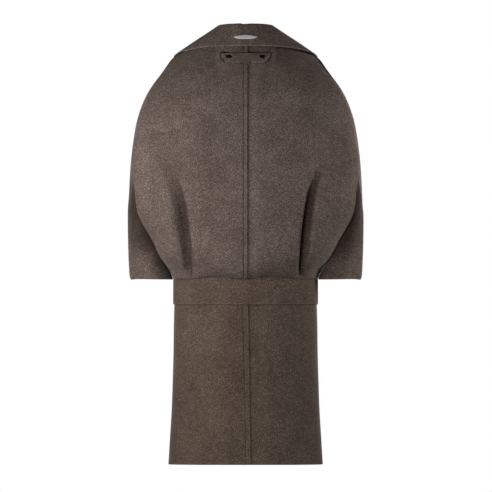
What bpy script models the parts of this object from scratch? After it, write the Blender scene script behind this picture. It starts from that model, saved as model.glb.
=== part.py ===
"""Cocoon coat in double-faced wool, hollow as it is worn, in metres with +Z up.

+X is the wearer's left, +Y is behind the wearer, and the origin is the nape seam at the
centre back. Each cloth piece is a grid of points on the coat's outer face: its rows run
round the body and its columns run down it. The grids of pieces that are sewn together share
the points of their seam, so their walls meet in a mitre with a seam gap between them."""

import math
from collections import namedtuple

import bpy
from mathutils import Vector
from mathutils.bvhtree import BVHTree

WALL = 0.0025            # double-faced wool
SEAM_GAP = 0.0003        # between the walls of pieces that are sewn together
LAY_GAP = 0.0010         # between a layer of cloth and the one that lies on it
LAP_DROP = WALL + LAY_GAP

BACK_LAP = (-0.0050, 0.0060)   # edges of the centre back seam: left piece, right piece
FRONT_LAP = 0.050              # how far each front passes the centre front
LAP_COLUMN_X = 0.012           # the column beside the centre back seam
STEEPEST = 2.5                 # limit of what a lap makes up for a sloping wall
LAP_RAMP = 0.024               # width over which the under layer comes up beside a lap
UNDER_SHORT = 0.18             # share of a row by which the under layer stops short of the neck
FRONT_TUCK_X = 0.075           # the left front lies lower as far out as this
FRONT_TUCK_Z = (-0.335, -0.368)  # and from the foot of the lapel down

CAP_GAP = 0.0030         # round the head of the sleeve, under the collar
CREVICE = 0.15           # how steeply cloth rises beside a seam before it counts as a crevice
LEAST_LEAN = 0.7         # limit of how much a mitre lengthens a wall's thickness

NECK_COLUMNS = 6         # columns of the back that end on the neckline
BACK_COLUMNS = 16
SLEEVE_COLUMNS = 10
ROWS_PER_LEVEL = 2
FINE_STEPS = 80          # steps in which a sleeve's section is measured
ROUNDNESS = 2.3          # exponent of the body's rounded sections
SHOULDER_ROUNDNESS = 1.5 # and of the straighter ones across the shoulders
SHOULDER_FOOT_Z = -0.20  # where they have become round

# The upper part, a row for each level from the nape to the waist. back: centre back; flank:
# back armhole seam; side: outermost sleeve; arm: sleeve section's centre, half depth and how
# far it turns from the outermost point to the seam (degrees); edge: front edge.
Level = namedtuple(
    "Level",
    "back_z back_y flank_x flank_z side_x arm_y arm_r arm_turn edge_x edge_y edge_z",
)
LEVELS = [
    Level(0.000, 0.060, 0.1865, -0.0580, 0.1878, 0.002, 0.013, 90, 0.074, 0.006, 0.010),
    Level(-0.045, 0.088, 0.2060, -0.0860, 0.2085, 0.001, 0.032, 90, 0.072, -0.034, -0.016),
    Level(-0.095, 0.110, 0.2420, -0.1375, 0.2450, -0.003, 0.051, 90, 0.066, -0.074, -0.068),
    Level(-0.155, 0.128, 0.2635, -0.1950, 0.2685, -0.008, 0.062, 90, 0.056, -0.106, -0.135),
    Level(-0.225, 0.140, 0.2765, -0.2550, 0.2805, -0.012, 0.072, 90, 0.043, -0.128, -0.210),
    Level(-0.300, 0.150, 0.2840, -0.3200, 0.2878, -0.015, 0.076, 92, 0.027, -0.142, -0.295),
    Level(-0.375, 0.158, 0.2765, -0.3800, 0.2912, -0.017, 0.078, 96, 0.010, -0.149, -0.370),
    Level(-0.440, 0.163, 0.2675, -0.4400, 0.2928, -0.020, 0.079, 104, -0.026, -0.152, -0.440),
    Level(-0.495, 0.165, 0.2385, -0.4950, 0.2930, -0.024, 0.078, 115, -0.050, -0.153, -0.495),
    Level(-0.545, 0.164, 0.2140, -0.5450, 0.2920, -0.028, 0.074, 132, -0.050, -0.152, -0.545),
    Level(-0.578, 0.156, 0.1910, -0.5780, 0.2905, -0.030, 0.070, 180, -0.050, -0.148, -0.578),
]

# Below the underarm the body and the sleeve are tubes of their own, down to waist and cuff.
BodyEnd = namedtuple("BodyEnd", "z back_y side_x side_y front_y")
BODY_ENDS = [
    BodyEnd(-0.5930, 0.144, 0.1845, -0.020, -0.136),
    BodyEnd(-0.6020, 0.130, 0.1810, -0.010, -0.125),
]
CuffEnd = namedtuple("CuffEnd", "z inner_x outer_x centre_y half_depth")
CUFF_ENDS = [
    CuffEnd(-0.5920, 0.1877, 0.2885, -0.030, 0.069),
    CuffEnd(-0.6035, 0.1846, 0.2870, -0.030, 0.068),
]

# Waist pleat: the centre panel's fold overlaps a valley that fades out up the back.
Pleat = namedtuple("Pleat", "z edge_x depth width")
PLEAT = [
    Pleat(-0.340, 0.1600, 0.0000, 0.034),
    Pleat(-0.400, 0.1520, 0.0045, 0.034),
    Pleat(-0.460, 0.1440, 0.0085, 0.033),
    Pleat(-0.520, 0.1365, 0.0120, 0.030),
    Pleat(-0.580, 0.1320, 0.0130, 0.024),
    Pleat(-0.593, 0.1330, 0.0095, 0.020),
    Pleat(-0.602, 0.1340, 0.0020, 0.016),
]
PLEAT_STEP = 0.005       # width of the fold's steep side
PLEAT_COLUMN = 10        # the back's column that follows the fold from PLEAT_TOP down
PLEAT_TOP = -0.260       # the columns swing over to the fold from here
PLEAT_RISE = 0.120       # and follow it this much lower

# Hip band and skirt, from the waist to the hem.
Ring = namedtuple("Ring", "z half_width back_y front_y")
BAND = [
    Ring(-0.6023, 0.1810, 0.1300, -0.1250),
    Ring(-0.6220, 0.1811, 0.1315, -0.1260),
    Ring(-0.6450, 0.1813, 0.1330, -0.1270),
    Ring(-0.6660, 0.1813, 0.1330, -0.1270),
]
SKIRT = [
    Ring(-0.6560, 0.1783, 0.1300, -0.1205),
    Ring(-0.6680, 0.1783, 0.1300, -0.1205),
    Ring(-0.6850, 0.1788, 0.1312, -0.1240),
    Ring(-0.7200, 0.1796, 0.1330, -0.1256),
    Ring(-0.7900, 0.1805, 0.1350, -0.1270),
    Ring(-0.8600, 0.1825, 0.1362, -0.1285),
    Ring(-0.9300, 0.1850, 0.1375, -0.1300),
    Ring(-1.0000, 0.1892, 0.1390, -0.1320),
    Ring(-1.0660, 0.1932, 0.1405, -0.1340),
]
RING_SIDE_Y = -0.010     # side seams of the band and skirt
RING_COLUMNS = 10
SKIRT_LAP_TOP = -0.0050   # the left back skirt's edge, at its top and at the hem
SKIRT_LAP_HEM = -0.0130
SKIRT_UNDER_X = 0.0100   # and the right one's, under it
SKIRT_TUCK_X = 0.030     # the right back skirt lies lower as far out as this

SHOULDER_POINT = Vector((0.178, 0.002, -0.0487))   # where the shoulder seam meets the armhole
SHOULDER_BOW = 0.0025    # how far the shoulder seam bows up

# Collar: how high it folds over its seam, and where its outer edge lies, from the centre
# back (station 0) over the neck point (1) to the foot of the lapel (2).
CollarLine = namedtuple("CollarLine", "station fold_x fold_y fold_z edge_x edge_y edge_z")
COLLAR = [
    CollarLine(0.00, 0.000, 0.048, 0.0324, 0.000, 0.083, -0.0205),
    CollarLine(0.45, 0.039, 0.036, 0.0310, 0.082, 0.068, -0.0225),
    CollarLine(0.80, 0.058, 0.018, 0.0278, 0.140, 0.034, -0.0305),
    CollarLine(1.00, 0.064, 0.001, 0.0220, 0.177, 0.004, -0.0450),
    CollarLine(1.15, 0.063, -0.032, -0.0010, 0.173, -0.040, -0.0705),
    CollarLine(1.35, 0.058, -0.080, -0.0700, 0.145, -0.090, -0.1300),
    CollarLine(1.60, 0.040, -0.128, -0.1700, 0.110, -0.125, -0.2150),
    CollarLine(1.85, 0.018, -0.156, -0.2950, 0.060, -0.146, -0.3150),
    CollarLine(2.00, 0.008, -0.162, -0.3640, 0.018, -0.158, -0.3720),
]
FOLD_RADIUS = 0.0040     # inside radius of the collar's fold
FALL_ROWS = 4
COLLAR_LIFT = 0.0030     # clearance of the collar's fall over the body

# Neck tab under the collar, its buttonholes and buttons, and the plate on the collar.
TAB_WIDTH = 0.126
TAB_TOP_Z = -0.0365
TAB_HEIGHT = 0.0280
TAB_CORNER_TOP = (0.004, 0.15)   # rounding of its corners: width, and share of its height
TAB_CORNER_FOOT = (0.021, 0.65)
TAB_COLUMNS = 22
TAB_ROWS = 6
TAB_LIFT = 0.0010
HOLE_X = 0.0415          # centre of each buttonhole from the centre back
HOLE_Z = -0.0480
HOLE_WIDTH = 0.0155
HOLE_HEIGHT = 0.0085
BUTTON_PLAY = 0.0006
BUTTON_HEIGHT = 0.0036
BUTTON_EDGE = 0.0010
PLATE_WIDTH = 0.059
PLATE_HEIGHT = 0.0090
PLATE_CENTRE_Z = 0.0020
PLATE_THICKNESS = 0.0012
PLATE_COLUMNS = 14
PLATE_ROWS = 3
PLATE_LIFT = 0.0007
PLATE_TIP = 0.0008       # height of the plate's blunt ends
OVAL_SIDES = 20
FAR = 0.5                # rays towards the coat start this far behind it

COLOURS = {
    "wool": (0.082, 0.060, 0.050),
    "wool_under_collar": (0.070, 0.052, 0.044),
    "horn": (0.012, 0.009, 0.008),
    "plate": (0.42, 0.41, 0.40),
}


# ---------------------------------------------------------------- curves and tables

def catmull(rows, position):
    """The named row at a position along a table, by a smooth curve through its rows."""
    last = len(rows) - 1
    index = min(int(position), last - 1)
    f = position - index
    p1, p2 = rows[index], rows[index + 1]
    p0 = rows[index - 1] if index else [2 * a - b for a, b in zip(p1, p2)]
    p3 = rows[index + 2] if index + 2 <= last else [2 * b - a for a, b in zip(p1, p2)]
    values = [
        0.5 * (2 * b + (c - a) * f + (2 * a - 5 * b + 4 * c - d) * f**2
               + (3 * b - a - 3 * c + d) * f**3)
        for a, b, c, d in zip(p0, p1, p2, p3)
    ]
    return type(p1)(*values)


def row_at(rows, value):
    """The named row where the first column has a value, by the smooth curve through them."""
    rising = rows[-1][0] > rows[0][0]
    for index, (low, high) in enumerate(zip(rows, rows[1:])):
        if (value <= high[0]) if rising else (value >= high[0]):
            f = (value - low[0]) / (high[0] - low[0])
            return catmull(rows, index + min(max(f, 0.0), 1.0))
    return rows[-1]


def smooth(f):
    """0 to 1 with flat ends, for f from 0 to 1."""
    f = min(max(f, 0.0), 1.0)
    return f * f * (3 - 2 * f)


def section_x(s):
    """How far out a rounded section is at s, from its middle (0) to its side (1)."""
    return math.sin(math.pi / 2 * s) ** (2 / ROUNDNESS)


def section_y(q, side_z=-1.0):
    """How deep a rounded section is where it is q of the way out."""
    share = smooth(side_z / SHOULDER_FOOT_Z)
    power = SHOULDER_ROUNDNESS + (ROUNDNESS - SHOULDER_ROUNDNESS) * share
    return (1 - min(abs(q), 1.0) ** power) ** (1 / power)


def even_steps(curve, count):
    """Points at even steps along a curve given as a function of 0 to 1."""
    fine = [curve(i / FINE_STEPS) for i in range(FINE_STEPS + 1)]
    lengths = [0.0]
    for p, q in zip(fine, fine[1:]):
        lengths.append(lengths[-1] + (q - p).length)
    points, k = [fine[0]], 0
    for i in range(1, count):
        target = lengths[-1] * i / count
        while lengths[k + 1] < target:
            k += 1
        f = (target - lengths[k]) / (lengths[k + 1] - lengths[k])
        points.append(fine[k].lerp(fine[k + 1], f))
    return points + [fine[-1]]


# ---------------------------------------------------------------- the coat's surface

def upper_levels():
    """Every row of the upper part down to the underarm, from the driving levels."""
    count = (len(LEVELS) - 1) * ROWS_PER_LEVEL
    return [catmull(LEVELS, i / ROWS_PER_LEVEL) for i in range(count + 1)]


def arm_point(level, turn, is_front):
    """A point of the sleeve's section, turned from its outermost point (degrees)."""
    angle = math.radians(turn)
    radius_x = (level.side_x - level.flank_x) / (1 - math.cos(math.radians(level.arm_turn)))
    y_sign = -1 if is_front else 1
    x = level.side_x - radius_x * (1 - math.cos(angle))
    y = level.arm_y + y_sign * level.arm_r * math.sin(angle)
    return Vector((x, y, level.flank_z))


def armhole_point(level, is_front):
    return arm_point(level, level.arm_turn, is_front)


def neck_point():
    top = LEVELS[0]
    return Vector((top.edge_x, top.edge_y, top.edge_z))


def shoulder_curve(f):
    """The shoulder seam from the neck point (0) to the shoulder point (1), bowed up a little."""
    point = neck_point().lerp(SHOULDER_POINT, f)
    point.z += SHOULDER_BOW * math.sin(math.pi * f)
    return point


def top_edge(is_front):
    """The upper edge of a back (neckline, then shoulder) or of a front (shoulder only)."""
    top = LEVELS[0]
    points = []
    if not is_front:
        for i in range(NECK_COLUMNS):
            sine = LAP_COLUMN_X / top.edge_x if i == 1 else math.sin(math.pi / 2 * i / NECK_COLUMNS)
            a = math.asin(sine)
            y = top.edge_y + (top.back_y - top.edge_y) * math.cos(a)
            z = top.back_z + (top.edge_z - top.back_z) * (1 - math.cos(a))
            points.append(Vector((top.edge_x * sine, y, z)))
    seam_steps = BACK_COLUMNS - NECK_COLUMNS - 1
    points += [shoulder_curve(i / seam_steps) for i in range(seam_steps + 1)]
    points.append(armhole_point(top, is_front))
    return points


def pleat_drop(x, z):
    """How far the waist pleat's valley lies under the back's rounded surface."""
    pleat = row_at(PLEAT, z)
    across = x - pleat.edge_x
    if across <= 0 or z > PLEAT[0].z:
        return 0.0
    if across < PLEAT_STEP:
        return pleat.depth * smooth(across / PLEAT_STEP)
    return pleat.depth * (1 - smooth((across - PLEAT_STEP) / pleat.width))


def even_fractions(width, depth, side_z, count):
    """How far out the points of a rounded section are when their steps are even."""

    def curve(f):
        q = section_x(f)
        return Vector((width * q, depth * section_y(q, side_z), 0))

    return [point.x / width for point in even_steps(curve, count)]


def back_fractions(side, depth):
    """How far out each column of the back is, with columns beside the pleat's fold."""
    flank_x, z = side.x, side.z
    even = even_fractions(flank_x, depth, z, BACK_COLUMNS)
    lap = LAP_COLUMN_X / flank_x
    even[1] = lap
    pull = smooth((PLEAT_TOP - z) / PLEAT_RISE)
    edge = row_at(PLEAT, z).edge_x / flank_x
    step = PLEAT_STEP / flank_x
    fold = PLEAT_COLUMN
    marks = {0: 0.0, 1: lap, fold: edge, fold + 1: edge + step, BACK_COLUMNS: 1.0}
    packed = []
    for i in range(BACK_COLUMNS + 1):
        low = max(k for k in marks if k <= i)
        high = min(k for k in marks if k >= i)
        if low == high:
            packed.append(marks[low])
            continue
        f = (i - low) / (high - low)
        if high == BACK_COLUMNS:
            f = math.sin(math.pi / 2 * f) ** 0.9
        packed.append(marks[low] + (marks[high] - marks[low]) * f)
    return [a + (b - a) * pull for a, b in zip(even, packed)]


def back_row(back_y, back_z, side):
    """A row of the back from the centre back round to its side point."""
    row = []
    for q in back_fractions(side, back_y - side.y):
        x = side.x * q
        z = back_z + (side.z - back_z) * q * q
        y = side.y + (back_y - side.y) * section_y(q, side.z)
        row.append(Vector((x, y - pleat_drop(x, z), z)))
    row[-1] = side.copy()
    return row


def front_row(edge, side, count):
    """A row of a front from its edge round to its side point; x under 0 is the overlap."""
    base = max(edge.x, 0.0)
    row = []
    for f in even_fractions(side.x - edge.x, side.y - edge.y, side.z, count):
        x = edge.x + (side.x - edge.x) * f
        q = (abs(x) - base) / (side.x - base)
        y = side.y + (edge.y - side.y) * section_y(q, side.z)
        row.append(Vector((x, y, edge.z + (side.z - edge.z) * max(q, 0.0))))
    row[-1] = side.copy()
    return row


def ease_to_top(rows, edge_points):
    """Moves a piece's first rows so that its top row lies on its upper edge."""
    moves = [b - a for a, b in zip(rows[0], edge_points)]
    reach = 3 * ROWS_PER_LEVEL
    for i in range(reach):
        share = (1 - i / reach) ** 2
        rows[i] = [point + move * share for point, move in zip(rows[i], moves)]
    return rows


def back_grid():
    rows = [back_row(v.back_y, v.back_z, armhole_point(v, False)) for v in upper_levels()]
    rows = ease_to_top(rows, top_edge(False))
    for end in BODY_ENDS:
        rows.append(back_row(end.back_y, end.z, Vector((end.side_x, end.side_y, end.z))))
    return rows


def front_grid():
    count = BACK_COLUMNS - NECK_COLUMNS
    rows = []
    for v in upper_levels():
        edge = Vector((v.edge_x, v.edge_y, v.edge_z))
        rows.append(front_row(edge, armhole_point(v, True), count))
    rows = ease_to_top(rows, top_edge(True))
    overlap = LEVELS[-1].edge_x
    for end in BODY_ENDS:
        edge = Vector((overlap, end.front_y, end.z))
        rows.append(front_row(edge, Vector((end.side_x, end.side_y, end.z)), count))
    return rows


def sleeve_grid():
    """Rows from the back armhole seam over the outer arm to the front one."""
    rows = []
    for v in upper_levels():

        def section(f, v=v):
            turn = v.arm_turn * (1 - 2 * f)
            return arm_point(v, abs(turn), turn < 0)

        rows.append(even_steps(section, SLEEVE_COLUMNS))
    cap = [rows[0][0], SHOULDER_POINT, rows[0][-1]]
    for i in range(SLEEVE_COLUMNS + 1):
        f = 2 * i / SLEEVE_COLUMNS
        rows[0][i] = cap[int(f)].lerp(cap[min(int(f) + 1, 2)], f - int(f))
    for end in CUFF_ENDS:
        radius = (end.outer_x - end.inner_x) / 2

        def cuff(f, end=end, radius=radius):
            angle = math.pi * (1 - 2 * f)
            x = end.inner_x + radius * (1 + math.cos(angle))
            return Vector((x, end.centre_y + end.half_depth * math.sin(angle), end.z))

        rows.append(even_steps(cuff, SLEEVE_COLUMNS))
    return rows


def ring_grid(rings, is_front, overlap):
    """Half of the band or skirt, from the centre (past it by the overlap) to the side seam."""
    rows = []
    for ring in rings:
        middle_y = ring.front_y if is_front else ring.back_y
        edge = Vector((-overlap, middle_y, ring.z))
        side = Vector((ring.half_width, RING_SIDE_Y, ring.z))
        rows.append(front_row(edge, side, RING_COLUMNS))
    return rows


# ---------------------------------------------------------------- laps and mirrored halves

def mirrored(rows):
    return [[Vector((-p.x, p.y, p.z)) for p in row] for row in rows]


def lean_of(rows, i, j):
    """How much longer a piece's slope is than its drop, at one of its points."""
    step = rows[min(i + 1, len(rows) - 1)][j] - rows[max(i - 1, 0)][j]
    return min(math.hypot(step.y, step.z) / max(abs(step.z), 1e-6), STEEPEST)


def tuck_under(rows, reach, towards_y, fade=None):
    """Lowers the part of a half that lies under its neighbour, up to x = reach. The fade is
    the pair of heights between which the tuck starts."""
    lean = [[lean_of(rows, i, j) for j in range(len(row))] for i, row in enumerate(rows)]
    for row, lean_row in zip(rows, lean):
        for point, steep in zip(row, lean_row):
            share = 1 - smooth((point.x - reach) / LAP_RAMP)
            if fade:
                share *= smooth((point.z - fade[0]) / (fade[1] - fade[0]))
            point.y += towards_y * LAP_DROP * steep * share
    return rows


def set_lap_edge(rows, top_x, bottom_x):
    """Moves the first column of a half out to where its edge laps its neighbour."""
    for i, row in enumerate(rows):
        x = top_x + (bottom_x - top_x) * i / (len(rows) - 1)
        row[0] = Vector((x, row[0].y, row[0].z))
    return rows


def joined_halves(left):
    """One piece from a left half: its mirror image, then the half itself."""
    return [right[:0:-1] + row for right, row in zip(mirrored(left), left)]


# ---------------------------------------------------------------- walls

class Piece:
    """A cloth piece: its grid of outer points and which of its edges are sewn."""

    def __init__(self, name, rows, sewn, flip=False, shares=True, level_ends=()):
        self.name = name
        self.rows = rows
        self.sewn = sewn              # of "top", "bottom", "first", "last"
        self.flip = flip              # the rows run the other way round the body
        self.shares = shares          # its seam normals are shared with its neighbours
        self.level_ends = level_ends  # edges cut level, of "top" and "bottom"
        is_sleeve = name.startswith("sleeve")
        self.side_of_seam = "sleeve" if is_sleeve else "body"
        self.top_gap = CAP_GAP if is_sleeve else SEAM_GAP
        # the points of its top edge that its neighbours share, where they don't share them all
        self.top_marks = (0, SLEEVE_COLUMNS // 2, SLEEVE_COLUMNS) if is_sleeve else ()
        self.normals = []


def key_of(point):
    return tuple(round(c * 20000) for c in point)


def cell_normals(piece):
    """Each cell's area vector with the four points it belongs to."""
    rows = piece.rows
    for r in range(len(rows) - 1):
        for c in range(len(rows[0]) - 1):
            a, b = rows[r][c], rows[r][c + 1]
            d, e = rows[r + 1][c], rows[r + 1][c + 1]
            area = (e - a).cross(b - d) * 0.5
            yield (-area if piece.flip else area), (r, c)


def mean_normal(areas):
    return sum(areas, Vector()).normalized()


def rises_from(piece, i, j, normal):
    """True where a piece rises outward from its sewn edge, as on both sides of a crevice."""
    last_row, last_col = len(piece.rows) - 1, len(piece.rows[0]) - 1
    point = piece.rows[i][j]
    if j in (0, last_col):
        inner = piece.rows[i][1 if j == 0 else last_col - 1]
    elif i in (0, last_row):
        inner = piece.rows[1 if i == 0 else last_row - 1][j]
    else:
        return False
    below = piece.rows[min(i + 1, last_row)][j]
    return any((p - point).normalized().dot(normal) > CREVICE for p in (inner, below))


def share_normals(pieces):
    """Gives each grid point the mean normal of the cells that meet there: of all of them,
    or in a crevice such as the underarm only of those on its own side."""
    everyone, own_side = {}, {}
    for piece in pieces:
        for area, (r, c) in cell_normals(piece):
            for i, j in ((r, c), (r, c + 1), (r + 1, c), (r + 1, c + 1)):
                key = key_of(piece.rows[i][j]) if piece.shares else (piece.name, i, j)
                everyone.setdefault(key, []).append(area)
                own_side.setdefault((piece.side_of_seam, key), []).append(area)
    for piece in pieces:
        piece.normals = []
        for i, row in enumerate(piece.rows):
            line = []
            for j, point in enumerate(row):
                key = key_of(point) if piece.shares else (piece.name, i, j)
                areas = everyone[key]
                if rises_from(piece, i, j, mean_normal(areas)):
                    areas = own_side[(piece.side_of_seam, key)]
                normal = mean_normal(areas)
                level = "top" if i == 0 else "bottom" if i == len(piece.rows) - 1 else ""
                if level in piece.level_ends:
                    normal = Vector((normal.x, normal.y, 0)).normalized()
                lean = min(normal.dot(a.normalized()) for a in areas if a.length > 1e-12)
                line.append(normal / min(max(lean, LEAST_LEAN), 1))
            piece.normals.append(line)
        spread_top_normals(piece)


def spread_top_normals(piece):
    """Leads the normals evenly from one shared point of a piece's top edge to the next."""
    top = piece.normals[0]
    for low, high in zip(piece.top_marks, piece.top_marks[1:]):
        for j in range(low + 1, high):
            top[j] = top[low].lerp(top[high], (j - low) / (high - low))


def seam_nudge(rows, i, j, inner_i, inner_j, along, gap=SEAM_GAP):
    """Half a gap from an edge point into its own piece, square to the edge."""
    inward = rows[inner_i][inner_j] - rows[i][j]
    inward -= along * inward.dot(along)
    return inward.normalized() * (gap / 2)


def nudged_rows(piece):
    """The moves that keep the seam gap along the sewn edges."""
    rows = piece.rows
    last_row, last_col = len(rows) - 1, len(rows[0]) - 1
    moves = [[Vector() for _ in row] for row in rows]

    def along(a, b):
        return (b - a).normalized() if (b - a).length > 1e-9 else Vector()

    for i in range(last_row + 1):
        up, down = max(i - 1, 0), min(i + 1, last_row)
        if "first" in piece.sewn:
            line = along(rows[up][0], rows[down][0])
            moves[i][0] += seam_nudge(rows, i, 0, i, 1, line)
        if "last" in piece.sewn:
            line = along(rows[up][last_col], rows[down][last_col])
            moves[i][last_col] += seam_nudge(rows, i, last_col, i, last_col - 1, line)
    for j in range(last_col + 1):
        left, right = max(j - 1, 0), min(j + 1, last_col)
        if "top" in piece.sewn:
            line = along(rows[0][left], rows[0][right])
            moves[0][j] += seam_nudge(rows, 0, j, 1, j, line, piece.top_gap)
        if "bottom" in piece.sewn:
            line = along(rows[last_row][left], rows[last_row][right])
            moves[last_row][j] += seam_nudge(rows, last_row, j, last_row - 1, j, line)
    return moves


def rim_order(point):
    """An order of seam points, so that both walls at a seam are split the same way."""
    return round(point.z, 6), -round(abs(point.x), 6), round(point.y, 6)


def wall_mesh(piece, thickness=WALL):
    """A closed wall: the grid as its outer face, moved in by the thickness as its inner one."""
    moves = nudged_rows(piece)
    n_rows, n_cols = len(piece.rows), len(piece.rows[0])
    outer, inner = [], []
    for i in range(n_rows):
        for j in range(n_cols):
            point = piece.rows[i][j] + moves[i][j]
            outer.append(point)
            inner.append(point - piece.normals[i][j] * thickness)
    size = n_rows * n_cols
    faces = []

    def quad(a, b, c, d):
        faces.append((a, d, c, b) if piece.flip else (a, b, c, d))

    for i in range(n_rows - 1):
        for j in range(n_cols - 1):
            a, b = i * n_cols + j, i * n_cols + j + 1
            c, d = b + n_cols, a + n_cols
            quad(a, d, c, b)
            quad(size + a, size + b, size + c, size + d)
    rim = [(0, j) for j in range(n_cols)]
    rim += [(i, n_cols - 1) for i in range(1, n_rows)]
    rim += [(n_rows - 1, j) for j in range(n_cols - 2, -1, -1)]
    rim += [(i, 0) for i in range(n_rows - 2, 0, -1)]

    def triangle(a, b, c):
        faces.append((a, c, b) if piece.flip else (a, b, c))

    for (i, j), (k, m) in zip(rim, rim[1:] + rim[:1]):
        a, b = i * n_cols + j, k * n_cols + m
        if rim_order(piece.rows[i][j]) > rim_order(piece.rows[k][m]):
            triangle(a, b, size + b)
            triangle(a, size + b, size + a)
        else:
            triangle(a, b, size + a)
            triangle(b, size + b, size + a)
    mesh = bpy.data.meshes.new(piece.name)
    mesh.from_pydata([tuple(p) for p in outer + inner], [], faces)
    mesh.shade_smooth()
    return mesh


# ---------------------------------------------------------------- scene helpers

def new_material(name, colour, roughness, metallic=0.0):
    material = bpy.data.materials.new(name)
    material.use_nodes = True
    shader = material.node_tree.nodes["Principled BSDF"]
    shader.inputs["Base Color"].default_value = (*colour, 1.0)
    shader.inputs["Roughness"].default_value = roughness
    shader.inputs["Metallic"].default_value = metallic
    return material


def add_object(name, mesh, material, collection):
    piece = bpy.data.objects.new(name, mesh)
    mesh.materials.append(material)
    collection.objects.link(piece)
    return piece


def surface_tree(pieces):
    """The outer faces of some pieces, for laying other cloth on them."""
    points, faces = [], []
    for piece in pieces:
        n_cols = len(piece.rows[0])
        start = len(points)
        points += [p for row in piece.rows for p in row]
        for i in range(len(piece.rows) - 1):
            for j in range(n_cols - 1):
                a = start + i * n_cols + j
                face = (a, a + n_cols, a + n_cols + 1, a + 1)
                faces.append(face[::-1] if piece.flip else face)
    return BVHTree.FromPolygons(points, faces)


def keep_off(tree, point, clearance):
    """The point, moved out where it lies closer to the surface than the clearance."""
    place, normal, _, _ = tree.find_nearest(point)
    height = (point - place).dot(normal)
    return point if height >= clearance else place + normal * clearance


# ---------------------------------------------------------------- collar

def collar_profile(seam, line, tree):
    """One column of the collar: up from its seam, over the fold and down to its edge."""
    fold = Vector((line.fold_x, line.fold_y, line.fold_z))
    edge = keep_off(tree, Vector((line.edge_x, line.edge_y, line.edge_z)), COLLAR_LIFT)
    up = (fold - seam).normalized()
    out = edge - fold
    out = (out - up * out.dot(up)).normalized()
    radius = min(FOLD_RADIUS, (fold - seam).length * 0.4)
    centre = fold - up * radius + out * radius
    points = [seam, seam.lerp(fold - up * radius, 0.5), fold - up * radius]
    points.append(centre + (up - out) * radius * 0.7071)
    points.append(centre + up * radius)
    points.append(centre + (up + out) * radius * 0.7071)
    start = centre + out * radius
    for i in range(FALL_ROWS + 1):
        points.append(keep_off(tree, start.lerp(edge, i / FALL_ROWS), COLLAR_LIFT))
    return points


def collar_seam(neckline, front_rows):
    """Half of the collar's seam with its stations, from the centre back down the lapel."""
    seam = []
    for j in range(NECK_COLUMNS + 1):
        point = neckline[j]
        seam.append((math.asin(min(abs(point.x) / LEVELS[0].edge_x, 1)) * 2 / math.pi, point))
    lapel = [row[0] for row in front_rows if row[0].z > COLLAR[-1].fold_z - 0.008]
    for i, point in enumerate(lapel[1:], start=1):
        seam.append((1 + i / (len(lapel) - 1), point))
    return seam


def collar_half(neckline, front_rows, tree):
    columns = []
    for station, point in collar_seam(neckline, front_rows):
        columns.append(collar_profile(point, row_at(COLLAR, station), tree))
    return columns


def mirror_columns(columns):
    return [[Vector((-p.x, p.y, p.z)) for p in column] for column in columns]


def collar_piece(left_half, right_half):
    """The whole collar from the left lapel's foot round the neck to the right one's."""
    across = left_half[::-1] + mirror_columns(right_half)[1:]
    rows = [[column[i] for column in across] for i in range(len(across[0]))]
    return Piece("collar", rows, sewn=("top",), flip=True)


# ---------------------------------------------------------------- the pieces

def half_coat(is_left):
    """The pieces of one half, drawn at +X; the right half is mirrored afterwards."""
    back = back_grid()
    front = front_grid()
    band_front = ring_grid(BAND, True, FRONT_LAP)
    neckline = []
    skirt_back = ring_grid(SKIRT, False, 0.0)
    skirt_front = ring_grid(SKIRT, True, FRONT_LAP)
    if is_left:
        set_lap_edge(back, BACK_LAP[0], BACK_LAP[0])
        set_lap_edge(skirt_back, SKIRT_LAP_TOP, SKIRT_LAP_HEM)
        tuck_under(front, FRONT_TUCK_X, 1, FRONT_TUCK_Z)
        tuck_under(band_front, FRONT_TUCK_X, 1)
        tuck_under(skirt_front, FRONT_TUCK_X, 1)
    else:
        set_lap_edge(back, -BACK_LAP[1], -BACK_LAP[1])
        set_lap_edge(skirt_back, -SKIRT_UNDER_X, -SKIRT_UNDER_X)
        tuck_under(back, LAP_COLUMN_X, -1)
        tuck_under(skirt_back, SKIRT_TUCK_X, -1)
        neckline = list(back[0])
        back[0][:2] = [p.lerp(q, UNDER_SHORT) for p, q in zip(back[0][:2], back[1])]
    neckline = neckline or list(back[0])
    pieces = {
        "back": (back, ("top", "last"), True, ("bottom",)),
        "sleeve": (sleeve_grid(), ("top", "first", "last"), True, ()),
        "front": (front, ("top", "first", "last"), False, ("bottom",)),
        "band_front": (band_front, ("last",), False, ("top",)),
        "skirt_back": (skirt_back, ("last",), True, ()),
        "skirt_front": (skirt_front, ("last",), False, ()),
    }
    return pieces, neckline


def cloth_pieces():
    """Every cloth piece that is cut from the coat's own surface, and the collar."""
    pieces, halves, necklines = [], {}, {}
    for side, is_left in (("left", True), ("right", False)):
        halves[side], necklines[side] = half_coat(is_left)
        for name, (rows, sewn, flip, ends) in halves[side].items():
            if not is_left:
                rows, flip = mirrored(rows), not flip
            pieces.append(Piece(f"{name}_{side}", rows, sewn, flip, level_ends=ends))
    band_rows = joined_halves(ring_grid(BAND, False, 0.0))
    pieces.append(Piece("band_back", band_rows, ("first", "last"), True, level_ends=("top",)))
    under = [p for p in pieces if p.name.startswith(("back_", "front_", "sleeve_"))]
    tree = surface_tree(under)
    sides = [
        collar_half(necklines[side], halves[side]["front"][0], tree) for side in ("left", "right")
    ]
    pieces.append(collar_piece(*sides))
    return pieces


# ---------------------------------------------------------------- small pieces laid on

def seat(tree, x, z):
    """The point of the coat's back face behind (x, z), and the direction it faces."""
    place, normal, _, _ = tree.ray_cast(Vector((x, FAR, z)), Vector((0, -1, 0)))
    return place, normal


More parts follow.
